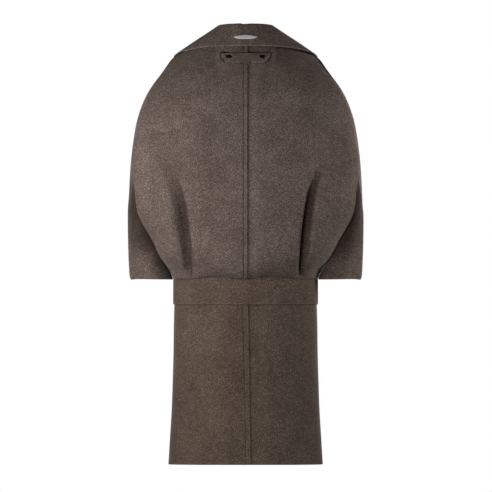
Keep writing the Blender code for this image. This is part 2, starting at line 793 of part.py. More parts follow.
def mesh_tree(meshes):
    points, faces = [], []
    for mesh in meshes:
        start = len(points)
        points += [v.co.copy() for v in mesh.vertices]
        faces += [[start + i for i in polygon.vertices] for polygon in mesh.polygons]
    return BVHTree.FromPolygons(points, faces)


def laid_piece(name, outline, n_rows, n_cols, tree, lift, thickness):
    """A thin piece on the coat: outline(u, v) gives its x and z for u and v from 0 to 1."""
    rows = []
    for i in range(n_rows + 1):
        row = []
        for j in range(n_cols + 1):
            place, normal = seat(tree, *outline(j / n_cols, i / n_rows))
            row.append(place + normal * (lift + thickness))
        rows.append(row)
    return Piece(name, rows, sewn=(), flip=True, shares=False)


def tab_outline(u, v):
    """Straight along the top, with large round corners at the foot."""
    half = TAB_WIDTH / 2
    width, share = TAB_CORNER_FOOT
    if v > 1 - share:
        f = (v - 1 + share) / share
        half -= width * (1 - math.sqrt(max(1 - f * f, 0)))
    width, share = TAB_CORNER_TOP
    if v < share:
        f = (share - v) / share
        half -= width * (1 - math.sqrt(max(1 - f * f, 0)))
    return half * (2 * u - 1), TAB_TOP_Z - TAB_HEIGHT * v


def plate_outline(u, v):
    """A slim lens with a flatter foot."""
    across = 2 * u - 1
    above = PLATE_HEIGHT / 2 * (1 - abs(across) ** 1.7) + PLATE_TIP / 2
    below = PLATE_HEIGHT / 2 * (1 - abs(across) ** 3.5) + PLATE_TIP / 2
    return PLATE_WIDTH / 2 * across, PLATE_CENTRE_Z + above - (above + below) * v


def oval_prism(name, width, height, length, place, normal):
    """An oval prism whose middle is at a place and whose axis is the normal there."""
    bpy.ops.mesh.primitive_cylinder_add(vertices=OVAL_SIDES, radius=0.5, depth=length)
    prism = bpy.context.object
    prism.name = name
    for vertex in prism.data.vertices:
        vertex.co.x *= width
        vertex.co.y *= height
    across = Vector((1, 0, 0))
    up = normal.cross(across).normalized()
    across = up.cross(normal).normalized()
    for vertex in prism.data.vertices:
        vertex.co = across * vertex.co.x + up * vertex.co.y + normal * vertex.co.z
    prism.location = place
    return prism


def move_to(piece, collection):
    for old in list(piece.users_collection):
        old.objects.unlink(piece)
    collection.objects.link(piece)


def cut_buttonhole(tab, side, place, normal, cutters):
    length = 4 * (WALL + TAB_LIFT)
    cutter = oval_prism(f"buttonhole_{side}", HOLE_WIDTH, HOLE_HEIGHT, length, place, normal)
    cutter.hide_render = True
    cutter.display_type = "WIRE"
    move_to(cutter, cutters)
    cut = tab.modifiers.new(f"buttonhole_{side}", "BOOLEAN")
    cut.operation = "DIFFERENCE"
    cut.object = cutter


def add_button(side, place, normal, material, collection):
    """A dark oval button, sewn to the back and seen in the tab's buttonhole."""
    width, height = HOLE_WIDTH - 2 * BUTTON_PLAY, HOLE_HEIGHT - 2 * BUTTON_PLAY
    middle = place + normal * (SEAM_GAP + BUTTON_HEIGHT / 2)
    button = oval_prism(f"button_{side}", width, height, BUTTON_HEIGHT, middle, normal)
    button.data.materials.append(material)
    bevel = button.modifiers.new("rounded edge", "BEVEL")
    bevel.width = BUTTON_EDGE
    bevel.segments = 1
    bevel.limit_method = "ANGLE"
    move_to(button, collection)


def main():
    for old in list(bpy.data.objects):
        bpy.data.objects.remove(old)
    coat = bpy.data.collections.new("cocoon_coat")
    cutters = bpy.data.collections.new("cutters")
    bpy.context.scene.collection.children.link(coat)
    bpy.context.scene.collection.children.link(cutters)
    wool = new_material("wool", COLOURS["wool"], 0.95)
    collar_wool = new_material("wool_under_collar", COLOURS["wool_under_collar"], 0.95)
    horn = new_material("horn", COLOURS["horn"], 0.35)
    metal = new_material("plate", COLOURS["plate"], 0.3, 1.0)

    pieces = cloth_pieces()
    share_normals(pieces)
    meshes = {piece.name: wall_mesh(piece) for piece in pieces}
    for name, mesh in meshes.items():
        add_object(name, mesh, collar_wool if name == "collar" else wool, coat)

    plain_back = Piece("plain_back", joined_halves(back_grid()), sewn=(), flip=True)
    back = surface_tree([plain_back])
    tab = laid_piece("neck_tab", tab_outline, TAB_ROWS, TAB_COLUMNS, back, TAB_LIFT, WALL)
    plate = laid_piece(
        "collar_plate", plate_outline, PLATE_ROWS, PLATE_COLUMNS,
        mesh_tree([meshes["collar"]]), PLATE_LIFT, PLATE_THICKNESS,
    )
    share_normals([tab, plate])
    tab_object = add_object("neck_tab", wall_mesh(tab), wool, coat)
    add_object("collar_plate", wall_mesh(plate, PLATE_THICKNESS), metal, coat)
    for side, sign in (("left", 1), ("right", -1)):
        place, normal = seat(back, sign * HOLE_X, HOLE_Z)
        cut_buttonhole(tab_object, side, place, normal, cutters)
        add_button(side, place, normal, horn, coat)


main()
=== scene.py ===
"""Looks of the cocoon coat: finer shells of heather wool on the frame's forms, with their
pleats, soft folds, seams, rounded edges and stitching, and the light and camera.

The frame is in metres with +Z up, +X on the wearer's left and +Y behind the wearer. The
shells repeat the coat's own sections at a finer step: rows run round the body and columns
run down it."""

import math
from collections import namedtuple

import bpy
import numpy as np
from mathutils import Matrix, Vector
from mathutils.bvhtree import BVHTree
from mathutils.geometry import delaunay_2d_cdt


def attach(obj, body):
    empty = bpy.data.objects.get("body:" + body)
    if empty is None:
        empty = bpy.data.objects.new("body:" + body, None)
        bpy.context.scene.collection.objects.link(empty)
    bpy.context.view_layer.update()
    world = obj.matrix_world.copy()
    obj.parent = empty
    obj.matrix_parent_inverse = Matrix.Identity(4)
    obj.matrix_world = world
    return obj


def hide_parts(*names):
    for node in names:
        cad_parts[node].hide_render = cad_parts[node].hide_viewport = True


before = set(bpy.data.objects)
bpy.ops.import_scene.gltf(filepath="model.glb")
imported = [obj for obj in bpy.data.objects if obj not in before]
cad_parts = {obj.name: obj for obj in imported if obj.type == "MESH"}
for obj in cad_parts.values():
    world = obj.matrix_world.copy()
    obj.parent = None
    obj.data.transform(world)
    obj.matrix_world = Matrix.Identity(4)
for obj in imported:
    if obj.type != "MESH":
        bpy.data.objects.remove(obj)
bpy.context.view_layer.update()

WALL = 0.0024            # double-faced wool
RIM_STEPS = 4            # faces round a wall's half-round edge
SEAM_GAP = 0.0001        # between sewn edges, too narrow for light to show through
LAP_DROP = 0.0033        # between a layer's face and the face of the one that lies on it
BACK_LAP = (-0.0050, 0.0060)
FRONT_LAP = 0.050
LAP_COLUMN_X = 0.012
STEEPEST = 2.5
LAP_RAMP = 0.024
UNDER_SHORT = 0.004      # the under layer of the back seam stops short of the neck by this
FRONT_TUCK_X = 0.075
FRONT_TUCK_Z = (-0.335, -0.368)

NECK_COLUMNS = 18
BACK_COLUMNS = 60
SLEEVE_COLUMNS = 36
ROWS_PER_LEVEL = 6
END_STEPS = 3            # rows between the waist and cuff rows of their tables
FINE_STEPS = 1200        # of the curve that even columns are measured along
SLEEVE_STEPS = 400
EASE_ROWS = 3 * ROWS_PER_LEVEL   # rows over which a top edge's move dies out
ROUNDNESS = 2.3
SHOULDER_ROUNDNESS = 1.5
SHOULDER_FOOT_Z = -0.20

Level = namedtuple(
    "Level",
    "back_z back_y flank_x flank_z side_x arm_y arm_r arm_turn edge_x edge_y edge_z",
)
LEVELS = [
    Level(0.000, 0.060, 0.1865, -0.0580, 0.1878, 0.002, 0.013, 90, 0.074, 0.006, 0.010),
    Level(-0.045, 0.088, 0.2060, -0.0860, 0.2085, 0.001, 0.032, 90, 0.072, -0.034, -0.016),
    Level(-0.095, 0.110, 0.2420, -0.1375, 0.2450, -0.003, 0.051, 90, 0.066, -0.074, -0.068),
    Level(-0.155, 0.128, 0.2635, -0.1950, 0.2685, -0.008, 0.062, 90, 0.056, -0.106, -0.135),
    Level(-0.225, 0.140, 0.2765, -0.2550, 0.2805, -0.012, 0.072, 90, 0.043, -0.128, -0.210),
    Level(-0.300, 0.150, 0.2840, -0.3200, 0.2878, -0.015, 0.076, 92, 0.027, -0.142, -0.295),
    Level(-0.375, 0.158, 0.2765, -0.3800, 0.2912, -0.017, 0.078, 96, 0.010, -0.149, -0.370),
    Level(-0.440, 0.163, 0.2675, -0.4400, 0.2928, -0.020, 0.079, 104, -0.026, -0.152, -0.440),
    Level(-0.495, 0.165, 0.2385, -0.4950, 0.2930, -0.024, 0.078, 115, -0.050, -0.153, -0.495),
    Level(-0.545, 0.164, 0.2140, -0.5450, 0.2920, -0.028, 0.074, 132, -0.050, -0.152, -0.545),
    Level(-0.578, 0.156, 0.1910, -0.5780, 0.2905, -0.030, 0.070, 180, -0.050, -0.148, -0.578),
]

BodyEnd = namedtuple("BodyEnd", "z back_y side_x side_y front_y")
BODY_ENDS = [
    BodyEnd(-0.5780, 0.156, 0.1910, -0.030, -0.148),
    BodyEnd(-0.5930, 0.144, 0.1845, -0.020, -0.136),
    BodyEnd(-0.6020, 0.130, 0.1810, -0.010, -0.125),
]
CuffEnd = namedtuple("CuffEnd", "z inner_x outer_x centre_y half_depth")
CUFF_ENDS = [
    CuffEnd(-0.5780, 0.1910, 0.2905, -0.030, 0.070),
    CuffEnd(-0.5955, 0.1838, 0.2890, -0.030, 0.069),
    CuffEnd(-0.6035, 0.1812, 0.2855, -0.030, 0.068),
]

Pleat = namedtuple("Pleat", "z edge_x depth width")
PLEAT = [
    Pleat(-0.3150, 0.1880, 0.0000, 0.020),
    Pleat(-0.3430, 0.1705, 0.0080, 0.028),
    Pleat(-0.3870, 0.1550, 0.0180, 0.032),
    Pleat(-0.4250, 0.1470, 0.0230, 0.031),
    Pleat(-0.4700, 0.1408, 0.0240, 0.029),
    Pleat(-0.5200, 0.1358, 0.0230, 0.026),
    Pleat(-0.5650, 0.1325, 0.0200, 0.022),
    Pleat(-0.5930, 0.1320, 0.0140, 0.018),
    Pleat(-0.6020, 0.1330, 0.0020, 0.016),
]
PLEAT_STEP = 0.005
PLEAT_UNDERCUT = 0.0060  # how far the fold hangs over its valley
PLEAT_FLOOR = 1.3        # above 1, the valley stays deep beside the fold
PLEAT_COLUMN = 36
PLEAT_STEP_COLUMNS = 6
PLEAT_TOP = -0.205       # from here down the back's columns are drawn towards the fold
PLEAT_RISE = 0.110
PLEAT_DEEPEST = max(row.depth for row in PLEAT)
OUTER_PACKING = 0.9      # below 1, the columns outside the pleat crowd towards the armhole

Ring = namedtuple("Ring", "z half_width back_y front_y")
BAND = [
    Ring(-0.6023, 0.1810, 0.1300, -0.1250),
    Ring(-0.6220, 0.1811, 0.1315, -0.1260),
    Ring(-0.6450, 0.1813, 0.1330, -0.1270),
    Ring(-0.6660, 0.1813, 0.1330, -0.1270),
]
SKIRT = [
    Ring(-0.6560, 0.1783, 0.1300, -0.1205),
    Ring(-0.6680, 0.1783, 0.1300, -0.1205),
    Ring(-0.6850, 0.1788, 0.1312, -0.1240),
    Ring(-0.7200, 0.1796, 0.1330, -0.1256),
    Ring(-0.7900, 0.1805, 0.1350, -0.1270),
    Ring(-0.8600, 0.1825, 0.1362, -0.1285),
    Ring(-0.9300, 0.1850, 0.1375, -0.1300),
    Ring(-1.0000, 0.1892, 0.1390, -0.1320),
    Ring(-1.0660, 0.1932, 0.1405, -0.1340),
]
RING_SIDE_Y = -0.010
RING_COLUMNS = 40
RING_STEPS = 6
SKIRT_LAP_TOP = -0.0050
SKIRT_LAP_HEM = -0.0130
SKIRT_UNDER_X = 0.0100
SKIRT_TUCK_X = 0.030

SHOULDER_POINT = (0.178, 0.002, -0.0487)
SHOULDER_BOW = 0.0025

CollarLine = namedtuple("CollarLine", "station fold_x fold_y fold_z edge_x edge_y edge_z")
COLLAR = [
    CollarLine(0.00, 0.000, 0.048, 0.0324, 0.000, 0.083, -0.0205),
    CollarLine(0.45, 0.039, 0.036, 0.0310, 0.082, 0.068, -0.0225),
    CollarLine(0.80, 0.058, 0.018, 0.0278, 0.140, 0.034, -0.0305),
    CollarLine(1.00, 0.064, 0.001, 0.0215, 0.177, 0.004, -0.0450),
    CollarLine(1.15, 0.063, -0.032, -0.0010, 0.173, -0.040, -0.0705),
    CollarLine(1.35, 0.058, -0.080, -0.0700, 0.145, -0.090, -0.1300),
    CollarLine(1.60, 0.040, -0.128, -0.1700, 0.110, -0.125, -0.2150),
    CollarLine(1.85, 0.018, -0.156, -0.2950, 0.060, -0.146, -0.3150),
    CollarLine(2.00, 0.008, -0.162, -0.3640, 0.018, -0.158, -0.3720),
]
FOLD_RADIUS = 0.0040
FOLD_SHARE = 0.4         # the fold's radius is at most this share of the stand's height
FOLD_STEPS = 8
FALL_ROWS = 8
FALL_BOW = 0.0008        # how far the collar's fall bows out between its fold and its edge
COLLAR_LIFT = 0.0030
LAPEL_PAST = 0.008       # how far the lapel's seam runs on below the last row of its table

TAB_WIDTH = 0.126
TAB_TOP_Z = -0.0380
TAB_HEIGHT = 0.0278
TAB_CORNER_TOP = (0.004, 0.15)   # rounding of its corners: width, and share of its height
TAB_CORNER_FOOT = (0.021, 0.65)
TAB_FOOT_STEPS = 40      # points of its outline up each foot corner, and each top corner
TAB_TOP_STEPS = 12
TAB_LIFT = 0.0011
TAB_THICKNESS = 0.0028
TAB_CURL = 0.0035        # how far its ends stand off
TAB_RIM = 0.0011         # radius of its upper edges
TAB_SLOPE = 0.0024       # width of its sloping side, and how high that rises
TAB_SLOPE_RISE = 0.0017
TAB_STITCH = 0.0060      # from its edge to its stitching, which draws a groove into it
TAB_GROOVE = 0.0007
HOLE_X = 0.0415
HOLE_Z = -0.0480
HOLE_WIDTH = 0.0165
HOLE_HEIGHT = 0.0090
HOLE_ROUND = 2.8
HOLE_RIDGE = (0.0005, 0.0012, 0.0007)    # round a hole: how high, how far out, how wide
BUTTON_PLAY = 0.0006
BUTTON_SIDE = 0.0024     # height of a button's side, and how far its dome rises over it
BUTTON_DOME = 0.0013
BUTTON_DOME_REACH = 0.0030
BUTTON_LIFT = 0.0004
PLATE_WIDTH = 0.057
PLATE_HEIGHT = 0.0090
PLATE_ROUND = (1.7, 3.5)         # how round it is above and below
PLATE_RIM = 0.0005
PLATE_CENTRE_Z = 0.0004
PLATE_THICKNESS = 0.0012
PLATE_LIFT = 0.0007
PLATE_TIP = 0.0008
FAR = 0.5                # rays towards the coat start this far behind it
LENS_STEPS = 24

# The points of a laid piece: how far in its rings lie, and the spacing along and between them.
Points = namedtuple("Points", "insets along inner")
TAB_INSETS = (
    0.0, 0.0009, 0.0017, 0.0024, 0.0026, 0.0030,
    0.0037, 0.0046, 0.0054, 0.0060, 0.0066, 0.0074,
)
TAB_POINTS = Points(TAB_INSETS, 0.0011, 0.0024)
BUTTON_POINTS = Points((0.0, 0.0002, 0.0005, 0.0009, 0.0014, 0.0020), 0.0008, 0.0012)
PLATE_POINTS = Points((0.0, 0.00012, 0.0003, 0.0005), 0.0010, 0.0016)
HOLE_RINGS = 3           # how many of the rings go round a hole as well
HOLE_SPACING = 0.7       # of the spacing along the outline

# The painted shading of a laid piece: the painted highlight on its ridge (how light, how far
# in, how wide), the painted shadow down its side, how far both spread at its ends, where the
# ends begin, and its strength between them.
LAID_PAINTED_HIGHLIGHT = (2.2, 0.0042, 0.0012)
LAID_PAINTED_SHADOW = 4.5
LAID_PAINTED_SPREAD = 0.0020
LAID_PAINTED_END = (0.046, 0.010)
LAID_PAINTED_MIDDLE = 0.60

STITCH = 0.0033          # length of a stitch, the gap after it, and the thread's radius
STITCH_GAP = 0.0010
THREAD_RADIUS = 0.00038
THREAD_SIDES = 6
THREAD_TURNS = (0.0, 0.2, 0.5, 0.8, 1.0)   # where along a stitch its rings of points lie
THREAD_ARCH = 1.6        # how far a stitch rises at its middle, and its thin ends, in radii
THREAD_END = 0.55
GROOVE_DEPTH = 0.0014    # the groove that a row of stitching draws into the wool
GROOVE_WIDTH = 0.0014
SKIRT_STITCH = 0.0110    # from the skirt's lap edge to its stitching

EDGE_STEPS = (0.48, 0.76)      # extra columns and rows beside a piece's edges, in steps
# The same at the centre back edges, where one half laps the other.
LAP_STEPS = (0.14, 0.22, 0.3, 0.4, 0.48, 0.54, 0.6, 0.66, 0.72, 0.79, 0.86, 0.92, 0.97)
SAME_POINT = 20000             # steps a metre; seam points that round to the same step are one
SMOOTH_TURN = 0.5              # least cosine between the directions that a seam shares
WOOL_COLOURS = ("352b27", "5f514a", "9a8b82")
# A darker copy of the same wool for the band and skirt: painted shade, as less light falls on the
# lower coat.
WOOL_SHADED_COLOURS = ("2e251f", "54463d", "87786b")
WAIST_Z = -0.6022
WAVE_X = 0.068                 # the waist seam is lifted round here
WAVE_WIDTH = 0.046
WAVE_HEIGHT = 0.0065
WAVE_POWER = 4                 # above 2, the lift is flat-topped
WAVE_REACH = (0.040, 0.055)    # how far it fades down the band, and up the back
STITCH_X = 0.0048              # the row of stitching beside the centre back lap
BACK_STITCH_Z = (-0.008, WAIST_Z + 0.004)
SKIRT_STITCH_Z = (-0.6700, SKIRT[-1].z + 0.003)
BACK_STITCH_POINTS = 200
SKIRT_STITCH_POINTS = 150
TAB_STITCH_STEP = 0.0010

# The heights between which something shows, and how far it fades at each of them.
Span = namedtuple("Span", "top bottom fade_in fade_out")

# The valley between the back's flank and the sleeve: how deep, which way, how far it reaches
# into each piece, over which heights, and how much of it is filled towards the cuff. The
# flank rolls out beside it by a share of its depth.
VALLEY_DEPTH = 0.012
VALLEY_TURN = (0.55, 0.84)
VALLEY_REACH = {"back": 0.0045, "sleeve": 0.020}
VALLEY_SPAN = Span(-0.300, -0.570, 0.10, 0.10)
VALLEY_FILL = 0.006
FILL_SPAN = Span(-0.480, -0.577, 0.04, 0.03)
VALLEY_ROLL = 0.35
ROLL_PLACE = (3, 1.5)    # where the roll lies and how wide it is, in reaches of the valley

# Painted shade in the cloth's hollows, where shade falls, and a painted highlight on the ridge.
PAINTED_SHADE = {"pleat": 3.0, "fold": 2.5, "sleeve": 5.4, "waist": 2.5}
PLEAT_SHADE_IN = (-0.002, 0.003)    # past the fold: where the dark begins, and its ramp
PLEAT_SHADE_OUT = (0.3, 0.8)        # where it ends, and its ramp, in widths of the pleat
FOLD_SHADE = (0.0025, 0.0022)       # the darkest line: how far past the fold, how wide
SLEEVE_SHADE_SPAN = Span(-0.340, -0.570, 0.06, 0.08)
SLEEVE_SHADE_REACH = 0.075
WAIST_SHADE_REACH = 0.0028
# A painted highlight on the flank's ridge beside the sleeve.
PAINTED_RIDGE_HIGHLIGHT = 3.0
RIDGE = (0.0105, 0.0032)       # along the flank: how far from the seam, how wide
RIDGE_SPAN = Span(-0.330, -0.580, 0.05, 0.06)
# A painted highlight along each free edge.
PAINTED_EDGE_HIGHLIGHT_REACH = 0.0035      # how far in a free edge is lighter

# Soft folds, as paths seen from behind (side 1) or in front (side -1): from and to (x, z),
# how deep, how wide, and how far the path bows sideways.
Crease = namedtuple("Crease", "side from_a from_z to_a to_z depth width bow")
CREASES = [
    Crease(1, 0.100, -0.070, 0.118, -0.430, 0.0036, 0.040, 0.006),
    Crease(1, 0.030, -0.330, 0.036, -0.585, 0.0030, 0.034, 0.004),
    Crease(1, -0.028, -0.080, -0.046, -0.400, 0.0036, 0.044, -0.004),
    Crease(1, -0.165, -0.110, -0.190, -0.470, 0.0030, 0.032, -0.008),
    Crease(1, 0.112, -0.420, 0.104, -0.585, 0.0020, 0.024, 0.000),
    Crease(1, -0.106, -0.440, -0.098, -0.585, 0.0016, 0.026, 0.000),
    Crease(1, 0.232, -0.330, 0.196, -0.520, -0.0026, 0.016, 0.004),
    Crease(1, -0.228, -0.310, -0.192, -0.530, -0.0030, 0.017, -0.005),
    Crease(1, 0.206, -0.400, 0.172, -0.570, 0.0020, 0.014, 0.003),
    Crease(1, -0.210, -0.420, -0.170, -0.575, 0.0022, 0.013, -0.003),
    Crease(1, 0.034, -0.660, 0.030, -0.960, 0.0030, 0.040, 0.004),
    Crease(1, 0.120, -0.740, 0.128, -0.980, -0.0026, 0.026, 0.003),
    Crease(1, -0.120, -0.700, -0.112, -1.060, -0.0024, 0.030, -0.006),
    Crease(1, -0.030, -0.800, -0.026, -1.060, 0.0014, 0.030, 0.000),
    Crease(1, 0.088, -0.900, 0.080, -1.060, -0.0016, 0.022, 0.002),
    Crease(-1, 0.120, -0.120, 0.092, -0.470, -0.0046, 0.028, 0.012),
    Crease(-1, -0.132, -0.110, -0.100, -0.500, -0.0050, 0.030, -0.010),
    Crease(-1, 0.188, -0.140, 0.160, -0.520, 0.0034, 0.026, 0.014),
    Crease(-1, -0.182, -0.150, -0.166, -0.500, 0.0030, 0.024, -0.016),
    Crease(-1, 0.060, -0.420, 0.070, -0.590, 0.0028, 0.016, 0.002),
    Crease(-1, -0.066, -0.400, -0.074, -0.590, 0.0026, 0.018, -0.003),
    Crease(-1, 0.130, -0.440, 0.116, -0.592, -0.0036, 0.014, 0.003),
    Crease(-1, -0.136, -0.450, -0.112, -0.592, -0.0034, 0.013, -0.004),
    Crease(-1, 0.090, -0.700, 0.100, -1.060, -0.0024, 0.036, 0.004),
    Crease(-1, -0.100, -0.720, -0.096, -1.060, -0.0022, 0.034, -0.006),
]
# Folds of the sleeves, as paths seen from the side (left 1, right -1): from and to (y, z).
SLEEVE_CREASES = [
    Crease(1, 0.012, -0.110, 0.026, -0.430, -0.0034, 0.015, 0.006),
    Crease(-1, 0.008, -0.120, 0.022, -0.400, -0.0030, 0.016, 0.007),
    Crease(1, -0.034, -0.160, -0.048, -0.520, -0.0036, 0.017, -0.006),
    Crease(-1, -0.030, -0.140, -0.050, -0.500, -0.0040, 0.016, -0.008),
    Crease(1, 0.004, -0.380, -0.010, -0.600, 0.0026, 0.016, 0.002),
    Crease(-1, 0.000, -0.400, -0.014, -0.600, 0.0028, 0.017, 0.003),
    Crease(1, 0.036, -0.470, 0.030, -0.600, -0.0016, 0.010, 0.000),
    Crease(-1, 0.034, -0.450, 0.028, -0.600, -0.0018, 0.011, 0.000),
]
CREASE_ENDS = (0.25, 0.18)     # the shares of a fold over which it fades in and out
CREASE_WAIST_Z = -0.56         # a fold that ends below this runs into the seam without fading
CREASE_PAST = 1.06
FACING = {"body": 0.5, "sleeve": 0.8}    # cloth that faces a fold's side this far has all of it

Light = namedtuple("Light", "name location target size power")
LIGHTS = [
    Light("key", (0.98, 0.80, -0.30), (0.0, 0.1, -0.40), 0.6, 10.9),
    Light("low_fill", (0.60, 2.40, -1.40), (0.0, 0.0, -0.45), 1.0, 40),
    Light("rim", (-1.44, 0.06, -0.10), (0.0, 0.0, -0.40), 0.6, 12.3),
    Light("front_key", (-0.83, -1.5, -0.20), (0.0, -0.1, -0.40), 0.8, 18),
    Light("front_fill", (1.0, -2.4, -0.20), (0.0, -0.1, -0.50), 1.2, 20),
]
FLOOR_HALF = 28.0
FLOOR_Z = -1.52


# ---------------------------------------------------------------- curves and tables

def curve(a, b, c, d, f):
    """A smooth curve's value between b and c, with a before them and d after them."""
    return 0.5 * (2 * b + (c - a) * f + (2 * a - 5 * b + 4 * c - d) * f**2
                  + (3 * b - a - 3 * c + d) * f**3)


def catmull(rows, position):
    """The named row at a position along a table, by a smooth curve through its rows."""
    last = len(rows) - 1
    index = min(int(position), last - 1)
    p1, p2 = rows[index], rows[index + 1]
    p0 = rows[index - 1] if index else [2 * a - b for a, b in zip(p1, p2)]
    p3 = rows[index + 2] if index + 2 <= last else [2 * b - a for a, b in zip(p1, p2)]
    return type(p1)(*(curve(*values, position - index) for values in zip(p0, p1, p2, p3)))


def row_at(rows, value):
    """The named row where the first column has a value, by the smooth curve through them."""
    rising = rows[-1][0] > rows[0][0]
    for index, (low, high) in enumerate(zip(rows, rows[1:])):
        if (value <= high[0]) if rising else (value >= high[0]):
            f = (value - low[0]) / (high[0] - low[0])
            return catmull(rows, index + min(max(f, 0.0), 1.0))
    return rows[-1]


def between(rows, steps):
    """Every row of a table, with a number of steps from one to the next."""
    count = (len(rows) - 1) * steps
    return [catmull(rows, i / steps) for i in range(count + 1)]


def smooth(f):
    """0 to 1 with flat ends, for f from 0 to 1."""
    f = np.clip(f, 0.0, 1.0)
    return f * f * (3 - 2 * f)


def bell(away, width):
    """1 where away is 0, and less to both sides."""
    return np.exp(-(away / width) ** 2)


def over(span, z):
    """1 between the heights of a span, fading to 0 at both."""
    return smooth((span.top - z) / span.fade_in) * smooth((z - span.bottom) / span.fade_out)


def section_y(q, side_z=-1.0):
    """How deep a rounded section is where it is q of the way out."""
    share = smooth(side_z / SHOULDER_FOOT_Z)
    power = SHOULDER_ROUNDNESS + (ROUNDNESS - SHOULDER_ROUNDNESS) * share
    return (1 - np.minimum(np.abs(q), 1.0) ** power) ** (1 / power)


def arc_lengths(points):
    """The length along a line of points, up to each of them."""
    steps = np.linalg.norm(np.diff(points, axis=0), axis=1)
    return np.concatenate([[0.0], np.cumsum(steps)])


def columns_at(targets, positions, values):
    """The rows of values at some targets, where each row has a position."""
    return np.stack([np.interp(targets, positions, column) for column in values.T], axis=1)


def even_line(points, count):
    lengths = arc_lengths(points)
    return columns_at(np.linspace(0, lengths[-1], count + 1), lengths, points)


def even_fractions(width, depth, side_z, count, first=None):
    """How far out the points of a rounded section are when their steps are even; first is
    where its second column stays."""
    q = np.sin(np.pi / 2 * np.linspace(0, 1, FINE_STEPS)) ** (2 / ROUNDNESS)
    line = np.stack([width * q, depth * section_y(q, side_z)], axis=1)
    lengths = arc_lengths(line)
    if first is None:
        targets = np.linspace(0, lengths[-1], count + 1)
    else:
        start = np.interp(first, q, lengths)
        targets = np.concatenate([[0.0], np.linspace(start, lengths[-1], count)])
    return np.interp(targets, lengths, q)


# ---------------------------------------------------------------- the coat's surface

def arm_points(level, turns):
    """Points of the sleeve's section, by their turn from its outermost point (degrees):
    towards the back where it is positive."""
    angles = np.radians(turns)
    radius_x = (level.side_x - level.flank_x) / (1 - math.cos(math.radians(level.arm_turn)))
    x = level.side_x - radius_x * (1 - np.cos(angles))
    y = level.arm_y + level.arm_r * np.sin(angles)
    return np.stack([x, y, np.full_like(x, level.flank_z)], axis=-1)


def armhole_point(level, is_front):
    return arm_points(level, np.array([-level.arm_turn if is_front else level.arm_turn]))[0]


def neck_point():
    top = LEVELS[0]
    return np.array([top.edge_x, top.edge_y, top.edge_z])


def top_edge(is_front):
    """The upper edge of a back (neckline, then shoulder) or of a front (shoulder only)."""
    top = LEVELS[0]
    points = []
    if not is_front:
        lap_angle = math.asin(LAP_COLUMN_X / top.edge_x)
        angles = np.linspace(lap_angle, np.pi / 2, NECK_COLUMNS)[:-1]
        for a in [0.0, *angles]:
            y = top.edge_y + (top.back_y - top.edge_y) * math.cos(a)
            z = top.back_z + (top.edge_z - top.back_z) * (1 - math.cos(a))
            points.append((top.edge_x * math.sin(a), y, z))
    seam_steps = BACK_COLUMNS - NECK_COLUMNS - 1
    for f in np.linspace(0, 1, seam_steps + 1):
        point = neck_point() * (1 - f) + np.array(SHOULDER_POINT) * f
        point[2] += SHOULDER_BOW * math.sin(math.pi * f)
        points.append(point)
    points.append(armhole_point(top, is_front))
    return np.array([tuple(p) for p in points])


def pleat_shift(x, z):
    """How far the waist pleat's valley lies under the back's rounded surface, and how far
    its steep side is pushed in under the fold."""
    drop, under = np.zeros_like(x), np.zeros_like(x)
    for k, (px, pz) in enumerate(zip(x, z)):
        pleat = row_at(PLEAT, pz)
        across = px - pleat.edge_x
        if across <= 0 or pz > PLEAT[0].z:
            continue
        if across < PLEAT_STEP:
            share = across / PLEAT_STEP
            drop[k] = pleat.depth * smooth(share)
            hang = 4 * share * (1 - share)
            under[k] = PLEAT_UNDERCUT * hang * pleat.depth / PLEAT_DEEPEST
        else:
            share = (across - PLEAT_STEP) / pleat.width
            drop[k] = pleat.depth * (1 - smooth(min(share, 1) ** PLEAT_FLOOR))
    return drop, under


def back_fractions(side, depth):
    """How far out each column of the back is, with columns beside the pleat's fold."""
    flank_x, z = side[0], side[2]
    lap = LAP_COLUMN_X / flank_x
    even = even_fractions(flank_x, depth, z, BACK_COLUMNS, lap)
    pull = smooth((PLEAT_TOP - z) / PLEAT_RISE)
    edge = row_at(PLEAT, z).edge_x / flank_x
    step = PLEAT_STEP / flank_x
    foot = PLEAT_COLUMN + PLEAT_STEP_COLUMNS
    marks = {0: 0.0, 1: lap, PLEAT_COLUMN: edge, foot: edge + step, BACK_COLUMNS: 1.0}
    columns = np.arange(BACK_COLUMNS + 1)
    packed = np.interp(columns, list(marks), list(marks.values()))
    outer = columns > foot
    f = (columns[outer] - foot) / (BACK_COLUMNS - foot)
    packed[outer] = marks[foot] + (1 - marks[foot]) * np.sin(np.pi / 2 * f) ** OUTER_PACKING
    return even + (packed - even) * pull


def back_row(back_y, back_z, side):
    q = back_fractions(side, back_y - side[1])
    x = side[0] * q
    z = back_z + (side[2] - back_z) * q * q
    y = side[1] + (back_y - side[1]) * section_y(q, side[2])
    drop, under = pleat_shift(x, z)
    row = np.stack([x - under, y - drop, z], axis=1)
    row[-1] = side
    return row


def front_row(edge, side, count):
    base = max(edge[0], 0.0)
    f = even_fractions(side[0] - edge[0], side[1] - edge[1], side[2], count)
    x = edge[0] + (side[0] - edge[0]) * f
    q = (np.abs(x) - base) / (side[0] - base)
    y = side[1] + (edge[1] - side[1]) * section_y(q, side[2])
    z = edge[2] + (side[2] - edge[2]) * np.maximum(q, 0.0)
    row = np.stack([x, y, z], axis=1)
    row[-1] = side
    return row


def ease_to_top(rows, edge_points):
    """Moves a piece's first rows so that its top row lies on its upper edge."""
    moves = edge_points - rows[0]
    for i in range(EASE_ROWS):
        rows[i] = rows[i] + moves * (1 - i / EASE_ROWS) ** 2


def body_ends():
    return between(BODY_ENDS, END_STEPS)[1:]


def back_grid():
    levels = between(LEVELS, ROWS_PER_LEVEL)
    rows = [back_row(v.back_y, v.back_z, armhole_point(v, False)) for v in levels]
    ease_to_top(rows, top_edge(False))
    for end in body_ends():
        rows.append(back_row(end.back_y, end.z, np.array([end.side_x, end.side_y, end.z])))
    return np.array(rows)


